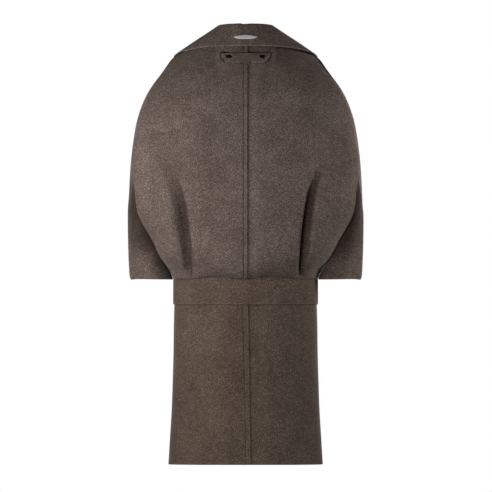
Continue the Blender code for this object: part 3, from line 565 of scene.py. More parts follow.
def front_grid():
    count = BACK_COLUMNS - NECK_COLUMNS
    rows = []
    for v in between(LEVELS, ROWS_PER_LEVEL):
        edge = np.array([v.edge_x, v.edge_y, v.edge_z])
        rows.append(front_row(edge, armhole_point(v, True), count))
    ease_to_top(rows, top_edge(True))
    overlap = LEVELS[-1].edge_x
    for end in body_ends():
        edge = np.array([overlap, end.front_y, end.z])
        rows.append(front_row(edge, np.array([end.side_x, end.side_y, end.z]), count))
    return np.array(rows)


def sleeve_grid():
    """Rows from the back armhole seam over the outer arm to the front one."""
    rows = []
    fine = np.linspace(1, -1, SLEEVE_STEPS)
    for v in between(LEVELS, ROWS_PER_LEVEL):
        rows.append(even_line(arm_points(v, v.arm_turn * fine), SLEEVE_COLUMNS))
    corners = np.array([rows[0][0], SHOULDER_POINT, rows[0][-1]])
    halves = np.linspace(0, 2, SLEEVE_COLUMNS + 1)
    cap = columns_at(halves, [0, 1, 2], corners)
    moves = cap - rows[0]
    for i in range(ROWS_PER_LEVEL // 2):
        rows[i] = rows[i] + moves * (1 - 2 * i / ROWS_PER_LEVEL) ** 2
    for end in between(CUFF_ENDS, END_STEPS)[1:]:
        radius = (end.outer_x - end.inner_x) / 2
        x = end.inner_x + radius * (1 + np.cos(np.pi * fine))
        y = end.centre_y + end.half_depth * np.sin(np.pi * fine)
        line = np.stack([x, y, np.full_like(x, end.z)], axis=1)
        rows.append(even_line(line, SLEEVE_COLUMNS))
    return np.array(rows)


def ring_grid(rings, is_front, overlap):
    """Half of the band or skirt, from the centre (past it by the overlap) to the side seam."""
    rows = []
    for ring in between(rings, RING_STEPS):
        middle_y = ring.front_y if is_front else ring.back_y
        edge = np.array([-overlap, middle_y, ring.z])
        side = np.array([ring.half_width, RING_SIDE_Y, ring.z])
        rows.append(front_row(edge, side, RING_COLUMNS))
    return np.array(rows)


# ---------------------------------------------------------------- laps and mirrored halves

def mirrored(grid):
    return grid * np.array([-1.0, 1.0, 1.0])


def tuck_under(grid, reach, towards_y, fade=None):
    """Lowers the part of a half that lies under its neighbour, up to x = reach. The fade is
    the pair of heights between which the tuck starts."""
    step = np.gradient(grid, axis=0)
    slope = np.hypot(step[..., 1], step[..., 2])
    lean = np.minimum(slope / np.maximum(np.abs(step[..., 2]), 1e-6), STEEPEST)
    share = 1 - smooth((grid[..., 0] - reach) / LAP_RAMP)
    if fade:
        share = share * smooth((grid[..., 2] - fade[0]) / (fade[1] - fade[0]))
    grid[..., 1] += towards_y * LAP_DROP * lean * share


def set_lap_edge(grid, top_x, bottom_x):
    """Moves the first column of a half out to where its edge laps its neighbour."""
    grid[:, 0, 0] = np.linspace(top_x, bottom_x, len(grid))


def joined_halves(left):
    """One piece from a left half: its mirror image, then the half itself."""
    return np.concatenate([mirrored(left)[:, :0:-1], left], axis=1)


# ---------------------------------------------------------------- cloth pieces

class Cloth:
    """A cloth piece: its grid of outer points and which of its edges are sewn."""

    def __init__(self, name, grid, sewn=(), flip=False, level_ends=()):
        self.name = name
        self.grid = grid
        self.sewn = sewn
        self.flip = flip
        self.level_ends = level_ends
        self.normals = None


def resampled(grid, rows, columns):
    """A grid at fractional rows and columns, by a smooth curve through its points."""

    def along(values, positions):
        last = len(values) - 1
        ends = [2 * values[0] - values[1]], [2 * values[-1] - values[-2]]
        padded = np.concatenate([ends[0], values, ends[1]])
        index = np.minimum(positions.astype(int), last - 1)
        f = (positions - index).reshape(-1, *[1] * (values.ndim - 1))
        return curve(*(padded[index + k] for k in range(4)), f)

    down = along(grid, np.asarray(rows, float))
    return along(down.swapaxes(0, 1), np.asarray(columns, float)).swapaxes(0, 1)


def edge_positions(count, first=EDGE_STEPS, last=EDGE_STEPS):
    """Row or column positions, with extra ones beside both ends."""
    middle = np.arange(1, count - 1)
    start = [0.0, *first]
    end = [count - 1 - f for f in reversed(last)] + [count - 1.0]
    return np.concatenate([start, middle, end])


def grid_normals(piece):
    """The direction that each point of a piece faces."""
    along = np.gradient(piece.grid, axis=1)
    down = np.gradient(piece.grid, axis=0)
    normals = np.cross(down, along)
    if piece.flip:
        normals = -normals
    lengths = np.linalg.norm(normals, axis=2, keepdims=True)
    return normals / np.maximum(lengths, 1e-12)


def rim_indices(n_rows, n_cols):
    rim = [(0, j) for j in range(n_cols)]
    rim += [(i, n_cols - 1) for i in range(1, n_rows)]
    rim += [(n_rows - 1, j) for j in range(n_cols - 2, -1, -1)]
    return rim + [(i, 0) for i in range(n_rows - 2, 0, -1)]


def share_normals(pieces):
    """Gives neighbours one direction along the seams that they share, where they lie
    smoothly beside each other."""
    shared = {}
    for piece in pieces:
        piece.normals = grid_normals(piece)
        for name, i in (("top", 0), ("bottom", -1)):
            if name in piece.level_ends:
                piece.normals[i, :, 2] = 0
                lengths = np.linalg.norm(piece.normals[i], axis=1, keepdims=True)
                piece.normals[i] /= lengths
        for i, j in rim_indices(*piece.grid.shape[:2]):
            key = tuple(np.round(piece.grid[i, j] * SAME_POINT).astype(int))
            shared.setdefault(key, []).append((piece, i, j, piece.normals[i, j].copy()))
    for entries in shared.values():
        for piece, i, j, own in entries:
            total = sum(n for _, _, _, n in entries if n.dot(own) > SMOOTH_TURN)
            piece.normals[i, j] = total / np.linalg.norm(total)


def crease_depth(across, z, fold):
    """How far a fold moves each point: its path runs down in z, across in x or y."""
    f = (z - fold.from_z) / (fold.to_z - fold.from_z)
    middle = fold.from_a + (fold.to_a - fold.from_a) * f + fold.bow * 4 * f * (1 - f)
    ends = smooth(f / CREASE_ENDS[0])
    if fold.to_z > CREASE_WAIST_Z:
        ends = ends * smooth((1 - f) / CREASE_ENDS[1])
    return fold.depth * bell(across - middle, fold.width) * ends * ((f > 0) & (f < CREASE_PAST))


def stitch_x(z):
    """Where the stitching beside the centre back lap runs at some heights."""
    share = np.clip((z - SKIRT[0].z) / (SKIRT[-1].z - SKIRT[0].z), 0, 1)
    skirt = SKIRT_LAP_TOP + (SKIRT_LAP_HEM - SKIRT_LAP_TOP) * share + SKIRT_STITCH
    return np.where(z < SKIRT[0].z, skirt, STITCH_X)


def fold_relief(piece):
    """The soft folds of a piece, as a move along its normals."""
    x, y, z = np.moveaxis(piece.grid, 2, 0)
    relief = np.zeros(x.shape)
    if piece.name.startswith("sleeve"):
        side = 1 if piece.name.endswith("left") else -1
        folds = [fold for fold in SLEEVE_CREASES if fold.side == side]
        across, facing, least = y, piece.normals[..., 0], FACING["sleeve"]
    else:
        folds, across, facing, least = CREASES, x, piece.normals[..., 1], FACING["body"]
    if piece.name in ("back_left", "skirt_back_left"):
        relief -= GROOVE_DEPTH * bell(x - stitch_x(z), GROOVE_WIDTH)
    for fold in folds:
        relief += crease_depth(across, z, fold) * smooth(facing * fold.side / least)
    return relief


def sink_underarm(piece):
    """Sinks the back armhole seam into a valley where the body's flank rolls over it."""
    name = piece.name.rsplit("_", 1)[0]
    if name not in VALLEY_REACH:
        return
    grid = piece.grid if name == "sleeve" else piece.grid[:, ::-1]
    side = 1 if piece.name.endswith("left") else -1
    inward = np.array([-VALLEY_TURN[0] * side, -VALLEY_TURN[1], 0.0])
    reach = VALLEY_REACH[name]
    away = from_side(grid, "first")
    z = grid[:, 0, 2]
    depth = (VALLEY_DEPTH * over(VALLEY_SPAN, z) - VALLEY_FILL * over(FILL_SPAN, z))[:, None]
    moves = -depth * bell(away, reach)
    if name == "back":
        moves += VALLEY_ROLL * depth * bell(away - ROLL_PLACE[0] * reach, ROLL_PLACE[1] * reach)
    moves[:, away.shape[1] // 2:] = 0
    grid -= inward * moves[..., None]


def unit(vector):
    length = np.linalg.norm(vector)
    return vector / length if length > 1e-9 else vector


def grid_faces(n_rows, n_cols):
    return [(a, a + n_cols, a + n_cols + 1, a + 1)
            for i in range(n_rows - 1) for a in range(i * n_cols, (i + 1) * n_cols - 1)]


def loop_faces(low, high):
    """The faces between two closed loops of as many points."""
    return list(zip(low, low[1:] + low[:1], high[1:] + high[:1], high))


def new_mesh(name, points, faces):
    mesh = bpy.data.meshes.new(name)
    mesh.from_pydata([tuple(p) for p in points], [], faces)
    return mesh


def add_shell(name, mesh, material, collection):
    mesh.materials.append(material)
    shell = bpy.data.objects.new(name, mesh)
    collection.objects.link(shell)
    return shell


def add_layers(mesh, flat, painted_shading):
    """UVs in metres along the cloth, and the painted light and shade, both from values per point.
    """
    loops = np.empty(len(mesh.loops), dtype=np.int32)
    mesh.loops.foreach_get("vertex_index", loops)
    layer = mesh.uv_layers.new(name="cloth")
    layer.data.foreach_set("uv", flat[loops].astype(np.float32).ravel())
    # The edge attribute holds the painted highlights and painted shade.
    edge = mesh.attributes.new("edge", "FLOAT", "POINT")
    edge.data.foreach_set("value", painted_shading.astype(np.float32))


def wall_object(piece, material, collection):
    """A piece as a closed wall with half-round edges: its grid is the outer face."""
    grid, normals = piece.grid.copy(), piece.normals
    n_rows, n_cols = grid.shape[:2]
    along, down = np.gradient(piece.grid, axis=1), np.gradient(piece.grid, axis=0)
    rim = rim_indices(n_rows, n_cols)
    outward = {}
    for i, j in rim:
        total, pull = np.zeros(3), np.zeros(3)
        sides = (
            ("top", i == 0, along, (1, j)),
            ("bottom", i == n_rows - 1, along, (n_rows - 2, j)),
            ("first", j == 0, down, (i, 1)),
            ("last", j == n_cols - 1, down, (i, n_cols - 2)),
        )
        for name, _, lines, neighbour in (side for side in sides if side[1]):
            line = unit(lines[i, j])
            inward = piece.grid[neighbour] - piece.grid[i, j]
            inward = unit(inward - line * inward.dot(line))
            gap = SEAM_GAP / 2 if name in piece.sewn else 0.0
            pull += inward * (WALL / 2 + gap)
            total -= inward
        grid[i, j] = piece.grid[i, j] + pull
        total -= normals[i, j] * total.dot(normals[i, j])
        outward[i, j] = unit(total)
    size = n_rows * n_cols
    points = [grid.reshape(-1, 3), (grid - normals * WALL).reshape(-1, 3)]
    at_rim = [i * n_cols + j for i, j in rim]
    strips = [at_rim]
    for step in range(1, RIM_STEPS):
        angle = math.pi * step / RIM_STEPS
        row = []
        for i, j in rim:
            centre = grid[i, j] - normals[i, j] * WALL / 2
            round_off = normals[i, j] * math.cos(angle) + outward[i, j] * math.sin(angle)
            row.append(centre + round_off * WALL / 2)
        points.append(np.array(row))
        start = 2 * size + (step - 1) * len(rim)
        strips.append(list(range(start, start + len(rim))))
    strips.append([size + k for k in at_rim])
    faces = []
    for a, d, c, b in grid_faces(n_rows, n_cols):
        faces += [(a, d, c, b), (size + a, size + b, size + c, size + d)]
    for low, high in zip(strips, strips[1:]):
        faces += loop_faces(low, high)
    if piece.flip:
        faces = [face[::-1] for face in faces]
    mesh = new_mesh(piece.name, np.concatenate(points), faces)
    mesh.shade_smooth()
    flat, painted_shading = cloth_values(piece)
    layers = [[values, values] + [values[at_rim]] * (RIM_STEPS - 1) for values in (flat, painted_shading)]
    add_layers(mesh, *(np.concatenate(parts) for parts in layers))
    return add_shell(f"{piece.name}_cloth", mesh, material, collection)


def cloth_values(piece):
    """Each point's place along the cloth, and its painted shading: a painted highlight near a
    free edge, less the painted shade in the hollows."""
    grid = piece.grid
    n_cols = grid.shape[1]
    middle = n_cols // 2
    across = from_side(grid, "first")
    u = across + (across[:, middle].mean() - across[:, middle:middle + 1])
    v = np.repeat(arc_lengths(grid[:, middle])[:, None], n_cols, axis=1)
    from_edge = np.full(across.shape, 1.0)
    for side in ("top", "bottom", "first", "last"):
        if side not in piece.sewn:
            from_edge = np.minimum(from_edge, from_side(grid, side))
    # A painted highlight near free edges, less the painted shade in the hollows.
    painted_shading = bell(from_edge, PAINTED_EDGE_HIGHLIGHT_REACH) - painted_hollow_shade(piece)
    return np.stack([u, v], axis=2).reshape(-1, 2), painted_shading.reshape(-1)


def painted_hollow_shade(piece):
    """Painted shade in a piece's hollows; below 0 for the painted highlight beside the sleeve."""
    grid = piece.grid
    x, z = np.abs(grid[..., 0]), grid[..., 2]
    shade = np.zeros(x.shape)
    if piece.name.startswith("sleeve"):
        # Painted shade in the sleeve's hollow beside the flank.
        near = bell(from_side(grid, "first"), SLEEVE_SHADE_REACH)
        shade += PAINTED_SHADE["sleeve"] * over(SLEEVE_SHADE_SPAN, z) * near
    if piece.name.startswith("back_"):
        heights, *columns = zip(*PLEAT)
        edge, depth, width = (np.interp(-z, np.negative(heights), row) for row in columns)
        depth = depth / PLEAT_DEEPEST
        across = x - edge
        begin, end = PLEAT_SHADE_IN, PLEAT_SHADE_OUT
        hollow = smooth((across - begin[0]) / begin[1])
        hollow = hollow * (1 - smooth((across / width - end[0]) / end[1]))
        # Painted shade in the pleat's valley, and a darker painted line close under its fold.
        shade += PAINTED_SHADE["pleat"] * depth * hollow
        shade += PAINTED_SHADE["fold"] * depth * bell(across - FOLD_SHADE[0], FOLD_SHADE[1])
        # A painted highlight on the ridge along the flank.
        ridge = bell(from_side(grid, "last") - RIDGE[0], RIDGE[1])
        shade -= PAINTED_RIDGE_HIGHLIGHT * over(RIDGE_SPAN, z) * ridge
    # Painted shadow along the waist seam, under the back's overhang.
    waist_side = {"back_left": "bottom", "back_right": "bottom", "band_back": "top"}
    if piece.name in waist_side:
        down = from_side(grid, waist_side[piece.name])
        shade += PAINTED_SHADE["waist"] * bell(down, WAIST_SHADE_REACH)
    return shade


def from_side(grid, side):
    """How far each point is from one side of a grid, along the cloth."""
    turned = grid if side in ("top", "bottom") else grid.swapaxes(0, 1)
    order = -1 if side in ("bottom", "last") else 1
    total = np.array([arc_lengths(line) for line in turned[::order].swapaxes(0, 1)]).T
    total = total[::order]
    return total if side in ("top", "bottom") else total.T


# ---------------------------------------------------------------- collar

def surface_tree(pieces):
    points, faces = [], []
    for piece in pieces:
        start = len(points)
        points += [Vector(p) for p in piece.grid.reshape(-1, 3)]
        for face in grid_faces(*piece.grid.shape[:2]):
            face = tuple(start + k for k in face)
            faces.append(face[::-1] if piece.flip else face)
    return BVHTree.FromPolygons(points, faces)


def keep_off(tree, point, clearance):
    """The point, moved out where it lies closer to the surface than the clearance."""
    place, normal, _, _ = tree.find_nearest(point)
    height = (point - place).dot(normal)
    return point if height >= clearance else place + normal * clearance


def collar_profile(seam, line, tree):
    """One column of the collar: up from its seam, over the fold and down to its edge."""
    seam = Vector(seam)
    fold = Vector((line.fold_x, line.fold_y, line.fold_z))
    edge = keep_off(tree, Vector((line.edge_x, line.edge_y, line.edge_z)), COLLAR_LIFT)
    up = (fold - seam).normalized()
    out = edge - fold
    out = (out - up * out.dot(up)).normalized()
    radius = min(FOLD_RADIUS, (fold - seam).length * FOLD_SHARE)
    centre = fold - up * radius + out * radius
    foot = fold - up * radius
    points = [seam, seam.lerp(foot, 1 / 3), seam.lerp(foot, 2 / 3)]
    for step in range(FOLD_STEPS + 1):
        angle = math.pi * step / FOLD_STEPS
        points.append(centre - out * radius * math.cos(angle) + up * radius * math.sin(angle))
    start = centre + out * radius
    face = (edge - start).cross(up.cross(out)).normalized()
    for i in range(1, FALL_ROWS + 1):
        f = i / FALL_ROWS
        point = start.lerp(edge, f) + face * (FALL_BOW * math.sin(math.pi * f))
        points.append(keep_off(tree, point, COLLAR_LIFT))
    return points


def collar_half(neckline, front, tree):
    """Half of the collar, from the centre back over the neck point down the lapel."""
    columns = []
    for j in range(NECK_COLUMNS + 1):
        point = neckline[j]
        station = math.asin(min(abs(point[0]) / LEVELS[0].edge_x, 1)) * 2 / math.pi
        columns.append(collar_profile(point, row_at(COLLAR, station), tree))
    lapel = [row[0] for row in front if row[0][2] > COLLAR[-1].fold_z - LAPEL_PAST]
    for i, point in enumerate(lapel[1:], start=1):
        station = 1 + i / (len(lapel) - 1)
        columns.append(collar_profile(point, row_at(COLLAR, station), tree))
    return np.array([[tuple(p) for p in column] for column in columns])


# ---------------------------------------------------------------- the pieces

def half_coat(is_left):
    """The grids of one half, drawn at +X; the right half is mirrored afterwards."""
    back, front = back_grid(), front_grid()
    band_front = ring_grid(BAND, True, FRONT_LAP)
    skirt_back = ring_grid(SKIRT, False, 0.0)
    skirt_front = ring_grid(SKIRT, True, FRONT_LAP)
    if is_left:
        set_lap_edge(back, BACK_LAP[0], BACK_LAP[0])
        set_lap_edge(skirt_back, SKIRT_LAP_TOP, SKIRT_LAP_HEM)
        tuck_under(front, FRONT_TUCK_X, 1, FRONT_TUCK_Z)
        tuck_under(band_front, FRONT_TUCK_X, 1)
        tuck_under(skirt_front, FRONT_TUCK_X, 1)
        neckline = back[0].copy()
    else:
        set_lap_edge(back, -BACK_LAP[1], -BACK_LAP[1])
        set_lap_edge(skirt_back, -SKIRT_UNDER_X, -SKIRT_UNDER_X)
        tuck_under(back, LAP_COLUMN_X, -1)
        tuck_under(skirt_back, SKIRT_TUCK_X, -1)
        neckline = back[0].copy()
        down = back[1, :2] - back[0, :2]
        back[0, :2] += down * (UNDER_SHORT / np.linalg.norm(down, axis=1, keepdims=True))
    grids = {
        "back": (back, ("top", "last"), True, ("bottom",)),
        "sleeve": (sleeve_grid(), ("top", "first", "last"), True, ()),
        "front": (front, ("top", "first", "last"), False, ("bottom",)),
        "band_front": (band_front, ("last",), False, ("top",)),
        "skirt_back": (skirt_back, ("last",), True, ()),
        "skirt_front": (skirt_front, ("last",), False, ()),
    }
    return grids, neckline


def cloth_pieces():
    pieces, halves, necklines = [], {}, {}
    for side, is_left in (("left", True), ("right", False)):
        halves[side], necklines[side] = half_coat(is_left)
        for name, (grid, sewn, flip, ends) in halves[side].items():
            if not is_left:
                grid, flip = mirrored(grid), not flip
            pieces.append(Cloth(f"{name}_{side}", grid, sewn, flip, ends))
    band = joined_halves(ring_grid(BAND, False, 0.0))
    pieces.append(Cloth("band_back", band, ("first", "last"), True, ("top",)))
    under = [p for p in pieces if p.name.startswith(("back_", "front_", "sleeve_"))]
    tree = surface_tree(under)
    left, right = (
        collar_half(necklines[side], halves[side]["front"][0], tree) for side in ("left", "right")
    )
    across = np.concatenate([left[::-1], mirrored(right)[1:]])
    pieces.append(Cloth("collar", across.swapaxes(0, 1), ("top",), True))
    return pieces


def waist_wave(piece):
    """Lifts the waist seam between the centre back and each pleat."""
    if piece.name not in ("back_left", "back_right", "band_back"):
        return
    x, z = np.abs(piece.grid[..., 0]), piece.grid[..., 2]
    across = np.exp(-((x - WAVE_X) / WAVE_WIDTH) ** WAVE_POWER)
    above = smooth((z - WAIST_Z + WAVE_REACH[0]) / WAVE_REACH[0])
    down = smooth((WAIST_Z + WAVE_REACH[1] - z) / WAVE_REACH[1])
    piece.grid[..., 2] += WAVE_HEIGHT * across * np.where(z < WAIST_Z, above, down)


def finer(piece):
    """Adds rows and columns beside a piece's edges and in its centre back lap."""
    n_rows, n_cols = piece.grid.shape[:2]
    first = LAP_STEPS if piece.name.startswith(("back_", "skirt_back_")) else EDGE_STEPS
    rows = edge_positions(n_rows)
    columns = edge_positions(n_cols, first)
    piece.grid = resampled(piece.grid, rows, columns)


# ---------------------------------------------------------------- tab, buttons, plate, thread

def half_width(v, corner, half):
    """How far out the tab reaches beside a rounded corner, v of the way into it."""
    return half - corner[0] * (1 - math.sqrt(max(1 - v * v, 0)))


def tab_outline():
    """The tab's closed outline as x and z: straight along the top, large round feet."""
    half, low = TAB_WIDTH / 2, TAB_TOP_Z - TAB_HEIGHT
    right = []
    for v in np.linspace(0, 1, TAB_FOOT_STEPS):
        share = TAB_CORNER_FOOT[1]
        right.append((half_width(1 - v, TAB_CORNER_FOOT, half), low + TAB_HEIGHT * share * v))
    for v in np.linspace(0.05, 1, TAB_TOP_STEPS):
        share = TAB_CORNER_TOP[1]
        z = TAB_TOP_Z - TAB_HEIGHT * share * (1 - v)
        right.append((half_width(v, TAB_CORNER_TOP, half), z))
    left = [(-x, z) for x, z in reversed(right)]
    return np.array(right + left)


def lens_outline(width, height, above, below, tip=0.0):
    """A lens with pointed ends, counter-clockwise; above and below say how round it is."""
    across = np.cos(np.linspace(0, np.pi, LENS_STEPS))
    top = height / 2 * (1 - np.abs(across) ** above) + tip / 2
    foot = -height / 2 * (1 - np.abs(across) ** below) - tip / 2
    upper = np.stack([width / 2 * across, top], axis=1)
    lower = np.stack([-width / 2 * across, foot[::-1]], axis=1)
    return np.concatenate([upper, lower[1:-1]] if tip == 0 else [upper, lower])


def even_loop(loop, step):
    """A closed outline with points at even steps."""
    closed = np.concatenate([loop, loop[:1]])
    count = max(12, round(arc_lengths(closed)[-1] / step))
    return even_line(closed, count)[:-1]


def inset(loop, distance):
    """A closed counter-clockwise outline, moved inwards."""
    along = np.roll(loop, -1, axis=0) - np.roll(loop, 1, axis=0)
    inward = np.stack([-along[:, 1], along[:, 0]], axis=1)
    return loop + distance * inward / np.linalg.norm(inward, axis=1, keepdims=True)


def distances(points, loop):
    """How far each point is from an outline."""
    start, along = loop, np.roll(loop, -1, axis=0) - loop
    offset = points[:, None] - start[None]
    share = (offset * along).sum(axis=2) / np.maximum((along**2).sum(axis=1), 1e-18)
    nearest = offset - np.clip(share, 0, 1)[..., None] * along
    return np.linalg.norm(nearest, axis=2).min(axis=1)


def inside(points, loop):
    """Which points lie in a closed outline."""
    ahead = np.roll(loop, -1, axis=0)
    x, z = points[:, :1], points[:, 1:]
    crosses = (loop[:, 1] > z) != (ahead[:, 1] > z)
    rise = np.where(ahead[:, 1] == loop[:, 1], 1e-12, ahead[:, 1] - loop[:, 1])
    at = loop[:, 0] + (z - loop[:, 1]) * (ahead[:, 0] - loop[:, 0]) / rise
    return (crosses & (x < at)).sum(axis=1) % 2 == 1


def seat(tree, x, z):
    """The point of the coat's back face behind (x, z), and the direction it faces."""
    place, normal, _, _ = tree.ray_cast(Vector((x, FAR, z)), Vector((0, -1, 0)))
    normal = np.array(normal)
    return np.array(place), normal if normal[1] > 0 else -normal


def rounded(away, height, radius):
    """The height of a face with a rounded edge, at some distances from the edge."""
    share = 1 - np.clip(away / radius, 0, 1)
    return height - radius * (1 - np.sqrt(1 - share**2))


def laid_mesh(name, outline, holes, face_height, tree, lift, spacing):
    """A closed piece that lies on the coat. face_height gives the height of its face from
    the distances to its outline and to its holes."""
    insets, inner = spacing.insets, spacing.inner
    rim = even_loop(outline, spacing.along)
    hole_rims = [even_loop(hole, spacing.along * HOLE_SPACING) for hole in holes]
    groups = [[rim] + [inset(rim, d) for d in insets[1:]]]
    for hole in hole_rims:
        groups.append([hole] + [inset(hole, -d) for d in insets[1:HOLE_RINGS + 1]])
    axes = (np.arange(a, b, inner) for a, b in zip(outline.min(axis=0), outline.max(axis=0)))
    grid = np.stack(np.meshgrid(*axes), axis=2).reshape(-1, 2)
    keep = inside(grid, rim) & (distances(grid, rim) > insets[-1] + inner / 2)
    for hole in hole_rims:
        clear = distances(grid, hole) > insets[HOLE_RINGS] + inner / 2
        keep &= ~inside(grid, hole) & clear
    edges, borders, start = [], [], 0
    for group in groups:
        borders.append(range(start, start + len(group[0])))
        for loop in group:
            ring = list(range(start, start + len(loop)))
            edges += list(zip(ring, ring[1:] + ring[:1]))
            start += len(loop)
    points = np.concatenate([*(loop for group in groups for loop in group), grid[keep]])
    flat, _, triangles, origins, _, _ = delaunay_2d_cdt(
        [Vector(p) for p in points], edges, [], 0, 1e-7
    )
    index = {old: new for new, group in enumerate(origins) for old in group}
    flat = np.array([tuple(p) for p in flat])
    centres = flat[np.array(triangles)].mean(axis=1)
    good = inside(centres, rim)
    from_edge, from_hole = distances(flat, rim), np.full(len(flat), FAR)
    for hole in hole_rims:
        good &= ~inside(centres, hole)
        from_hole = np.minimum(from_hole, distances(flat, hole))
    top, foot = [], []
    for (x, z), height in zip(flat, face_height(from_edge, from_hole)):
        place, normal = seat(tree, x, z)
        base = lift(x) if callable(lift) else lift
        top.append(place + normal * (base + height))
        foot.append(place + normal * base)
    count = len(flat)
    faces = []
    for (a, b, c), used in zip(triangles, good):
        if used:
            faces += [(a, c, b), (count + a, count + b, count + c)]
    for border in borders:
        ring = [index[k] for k in border]
        faces += loop_faces(ring, [count + k for k in ring])
    mesh = new_mesh(name, top + foot, faces)
    mesh.validate()
    # Painted shadow round the tab's sides and a painted highlight on its ridge.
    painted_shading = painted_edge_shading(from_edge, np.abs(flat[:, 0]))
    add_layers(mesh, np.tile(flat, (2, 1)), np.tile(painted_shading, 2))
    mesh.shade_smooth()
    return mesh


def painted_edge_shading(from_edge, x):
    """Painted shadow down a laid piece's side, a painted highlight on the ridge beside it, most
    so at its ends.
    """
    end = smooth((x - LAID_PAINTED_END[0]) / LAID_PAINTED_END[1])
    light, away, width = LAID_PAINTED_HIGHLIGHT
    ridge = light * bell(from_edge - away - LAID_PAINTED_SPREAD * end, width)
    side = from_edge < TAB_SLOPE + LAID_PAINTED_SPREAD * end
    return (LAID_PAINTED_MIDDLE + end) * (ridge - LAID_PAINTED_SHADOW * side)


def hole_loop(side):
    outline = lens_outline(HOLE_WIDTH, HOLE_HEIGHT, HOLE_ROUND, HOLE_ROUND)
    return outline + np.array([HOLE_X if side == "left" else -HOLE_X, HOLE_Z])


def tab_lift(x):
    """The tab lies on the back between its buttons, and its ends stand off it."""
    return TAB_LIFT + TAB_CURL * smooth((abs(x) - HOLE_X) / (TAB_WIDTH / 2 - HOLE_X))


def tab_height(from_edge, from_hole):
    """A sloping side, then a face with a groove for its stitching and ridges at its holes."""
    height = rounded(np.minimum(from_edge - TAB_SLOPE, from_hole), TAB_THICKNESS, TAB_RIM)
    height = np.where(from_edge < TAB_SLOPE, TAB_SLOPE_RISE * from_edge / TAB_SLOPE, height)
    height -= TAB_GROOVE * bell(from_edge - TAB_STITCH, TAB_GROOVE)
    ridge, away, width = HOLE_RIDGE
    return height + ridge * bell(from_hole - away, width)


def button_height(from_edge, _):
    """A flat side, then a dome."""
    share = np.clip(from_edge / BUTTON_DOME_REACH, 0, 1)
    return BUTTON_SIDE + BUTTON_DOME * np.sqrt(1 - (1 - share) ** 2)


def plate_height(from_edge, _):
    return rounded(from_edge, PLATE_THICKNESS, PLATE_RIM)


def add_stitches(name, rows, material, collection):
    """Rows of stitching as short threads; a row is its points and the directions they face."""
    points, faces = [], []
    for line, normals in rows:
        lengths = arc_lengths(line)
        count = int(lengths[-1] / (STITCH + STITCH_GAP))
        for k in range(count):
            at = k * lengths[-1] / count + STITCH * np.array(THREAD_TURNS)
            middle, facing = (columns_at(at, lengths, values) for values in (line, normals))
            along = unit(middle[-1] - middle[0])
            rings = []
            for turn, place, normal in zip(THREAD_TURNS, middle, facing):
                normal = unit(normal)
                side = np.cross(normal, along)
                lift = THREAD_RADIUS * (THREAD_ARCH * math.sin(math.pi * turn) - 1.0)
                size = THREAD_RADIUS * (THREAD_END if turn in (0.0, 1.0) else 1.0)
                rings.append(list(range(len(points), len(points) + THREAD_SIDES)))
                for m in range(THREAD_SIDES):
                    angle = 2 * math.pi * m / THREAD_SIDES
                    spoke = normal * math.cos(angle) + side * math.sin(angle)
                    points.append(place + normal * lift + spoke * size)
            for low, high in zip(rings, rings[1:]):
                faces += loop_faces(low, high)
            faces += [tuple(rings[0][::-1]), tuple(rings[-1])]
    mesh = new_mesh(name, points, faces)
    mesh.shade_smooth()
    stitches = add_shell(name, mesh, material, collection)
    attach(stitches, "root")


def seated_row(tree, flat, lift=0.0):
    """A row of stitching over the coat, through some x and z."""
    places, normals = zip(*(seat(tree, x, z) for x, z in flat))
    places, normals = np.array(places), np.array(normals)
    return places + normals * lift, normals


def both_sides(back):
    """A tree of the left back and its mirror image."""
    copy = Cloth("copy", mirrored(back.grid), flip=not back.flip)
    return surface_tree([back, copy])


def add_details(pieces, smooth_back, wool, looks):
    """The neck tab, its buttons, the plate on the collar and the stitching."""
    grids = {piece.name: piece for piece in pieces}
    coat = both_sides(grids["back_left"])
    collar = surface_tree([grids["collar"]])
    horn = plain_material("horn", (0.004, 0.002, 0.002), 0.80, 0.0, 0.12)
    metal = plain_material("brushed_plate", (0.74, 0.73, 0.71), 0.45, 0.1)
    thread = plain_material("thread", (0.030, 0.023, 0.019), 0.8, 0.0)
    holes = [hole_loop("left"), hole_loop("right")]
    tab_mesh = laid_mesh(
        "neck_tab", tab_outline(), holes, tab_height, smooth_back, tab_lift, TAB_POINTS
    )
    made = [("neck_tab", tab_mesh, wool, "wool")]
    for side, hole in zip(("left", "right"), holes):
        outline = inset(even_loop(hole, BUTTON_POINTS.along), BUTTON_PLAY)
        mesh = laid_mesh(
            f"button_{side}", outline, [], button_height, smooth_back, BUTTON_LIFT, BUTTON_POINTS
        )
        made.append((f"button_{side}", mesh, horn, "horn"))
    lens = lens_outline(PLATE_WIDTH, PLATE_HEIGHT, *PLATE_ROUND, PLATE_TIP)
    lens = lens + np.array([0, PLATE_CENTRE_Z])
    plate = laid_mesh(
        "collar_plate", lens, [], plate_height, collar, WALL + PLATE_LIFT, PLATE_POINTS
    )
    made.append(("collar_plate", plate, metal, "plate"))
    for node_name, mesh, material, slot in made:
        shell = add_shell(f"{node_name}_look", mesh, material, looks)
        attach(shell, "root")
        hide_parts(node_name)
    z = np.linspace(*BACK_STITCH_Z, BACK_STITCH_POINTS)
    rows = [seated_row(coat, [(STITCH_X, v) for v in z])]
    skirt = surface_tree([grids["skirt_back_left"]])
    z = np.linspace(*SKIRT_STITCH_Z, SKIRT_STITCH_POINTS)
    rows.append(seated_row(skirt, list(zip(stitch_x(z), z))))
    loop = inset(even_loop(tab_outline(), TAB_STITCH_STEP), TAB_STITCH)
    rise = np.array([tab_lift(x) for x, _ in loop])[:, None] + TAB_THICKNESS - TAB_GROOVE
    rows.append(seated_row(smooth_back, loop, rise))
    add_stitches("stitching", rows, thread, looks)


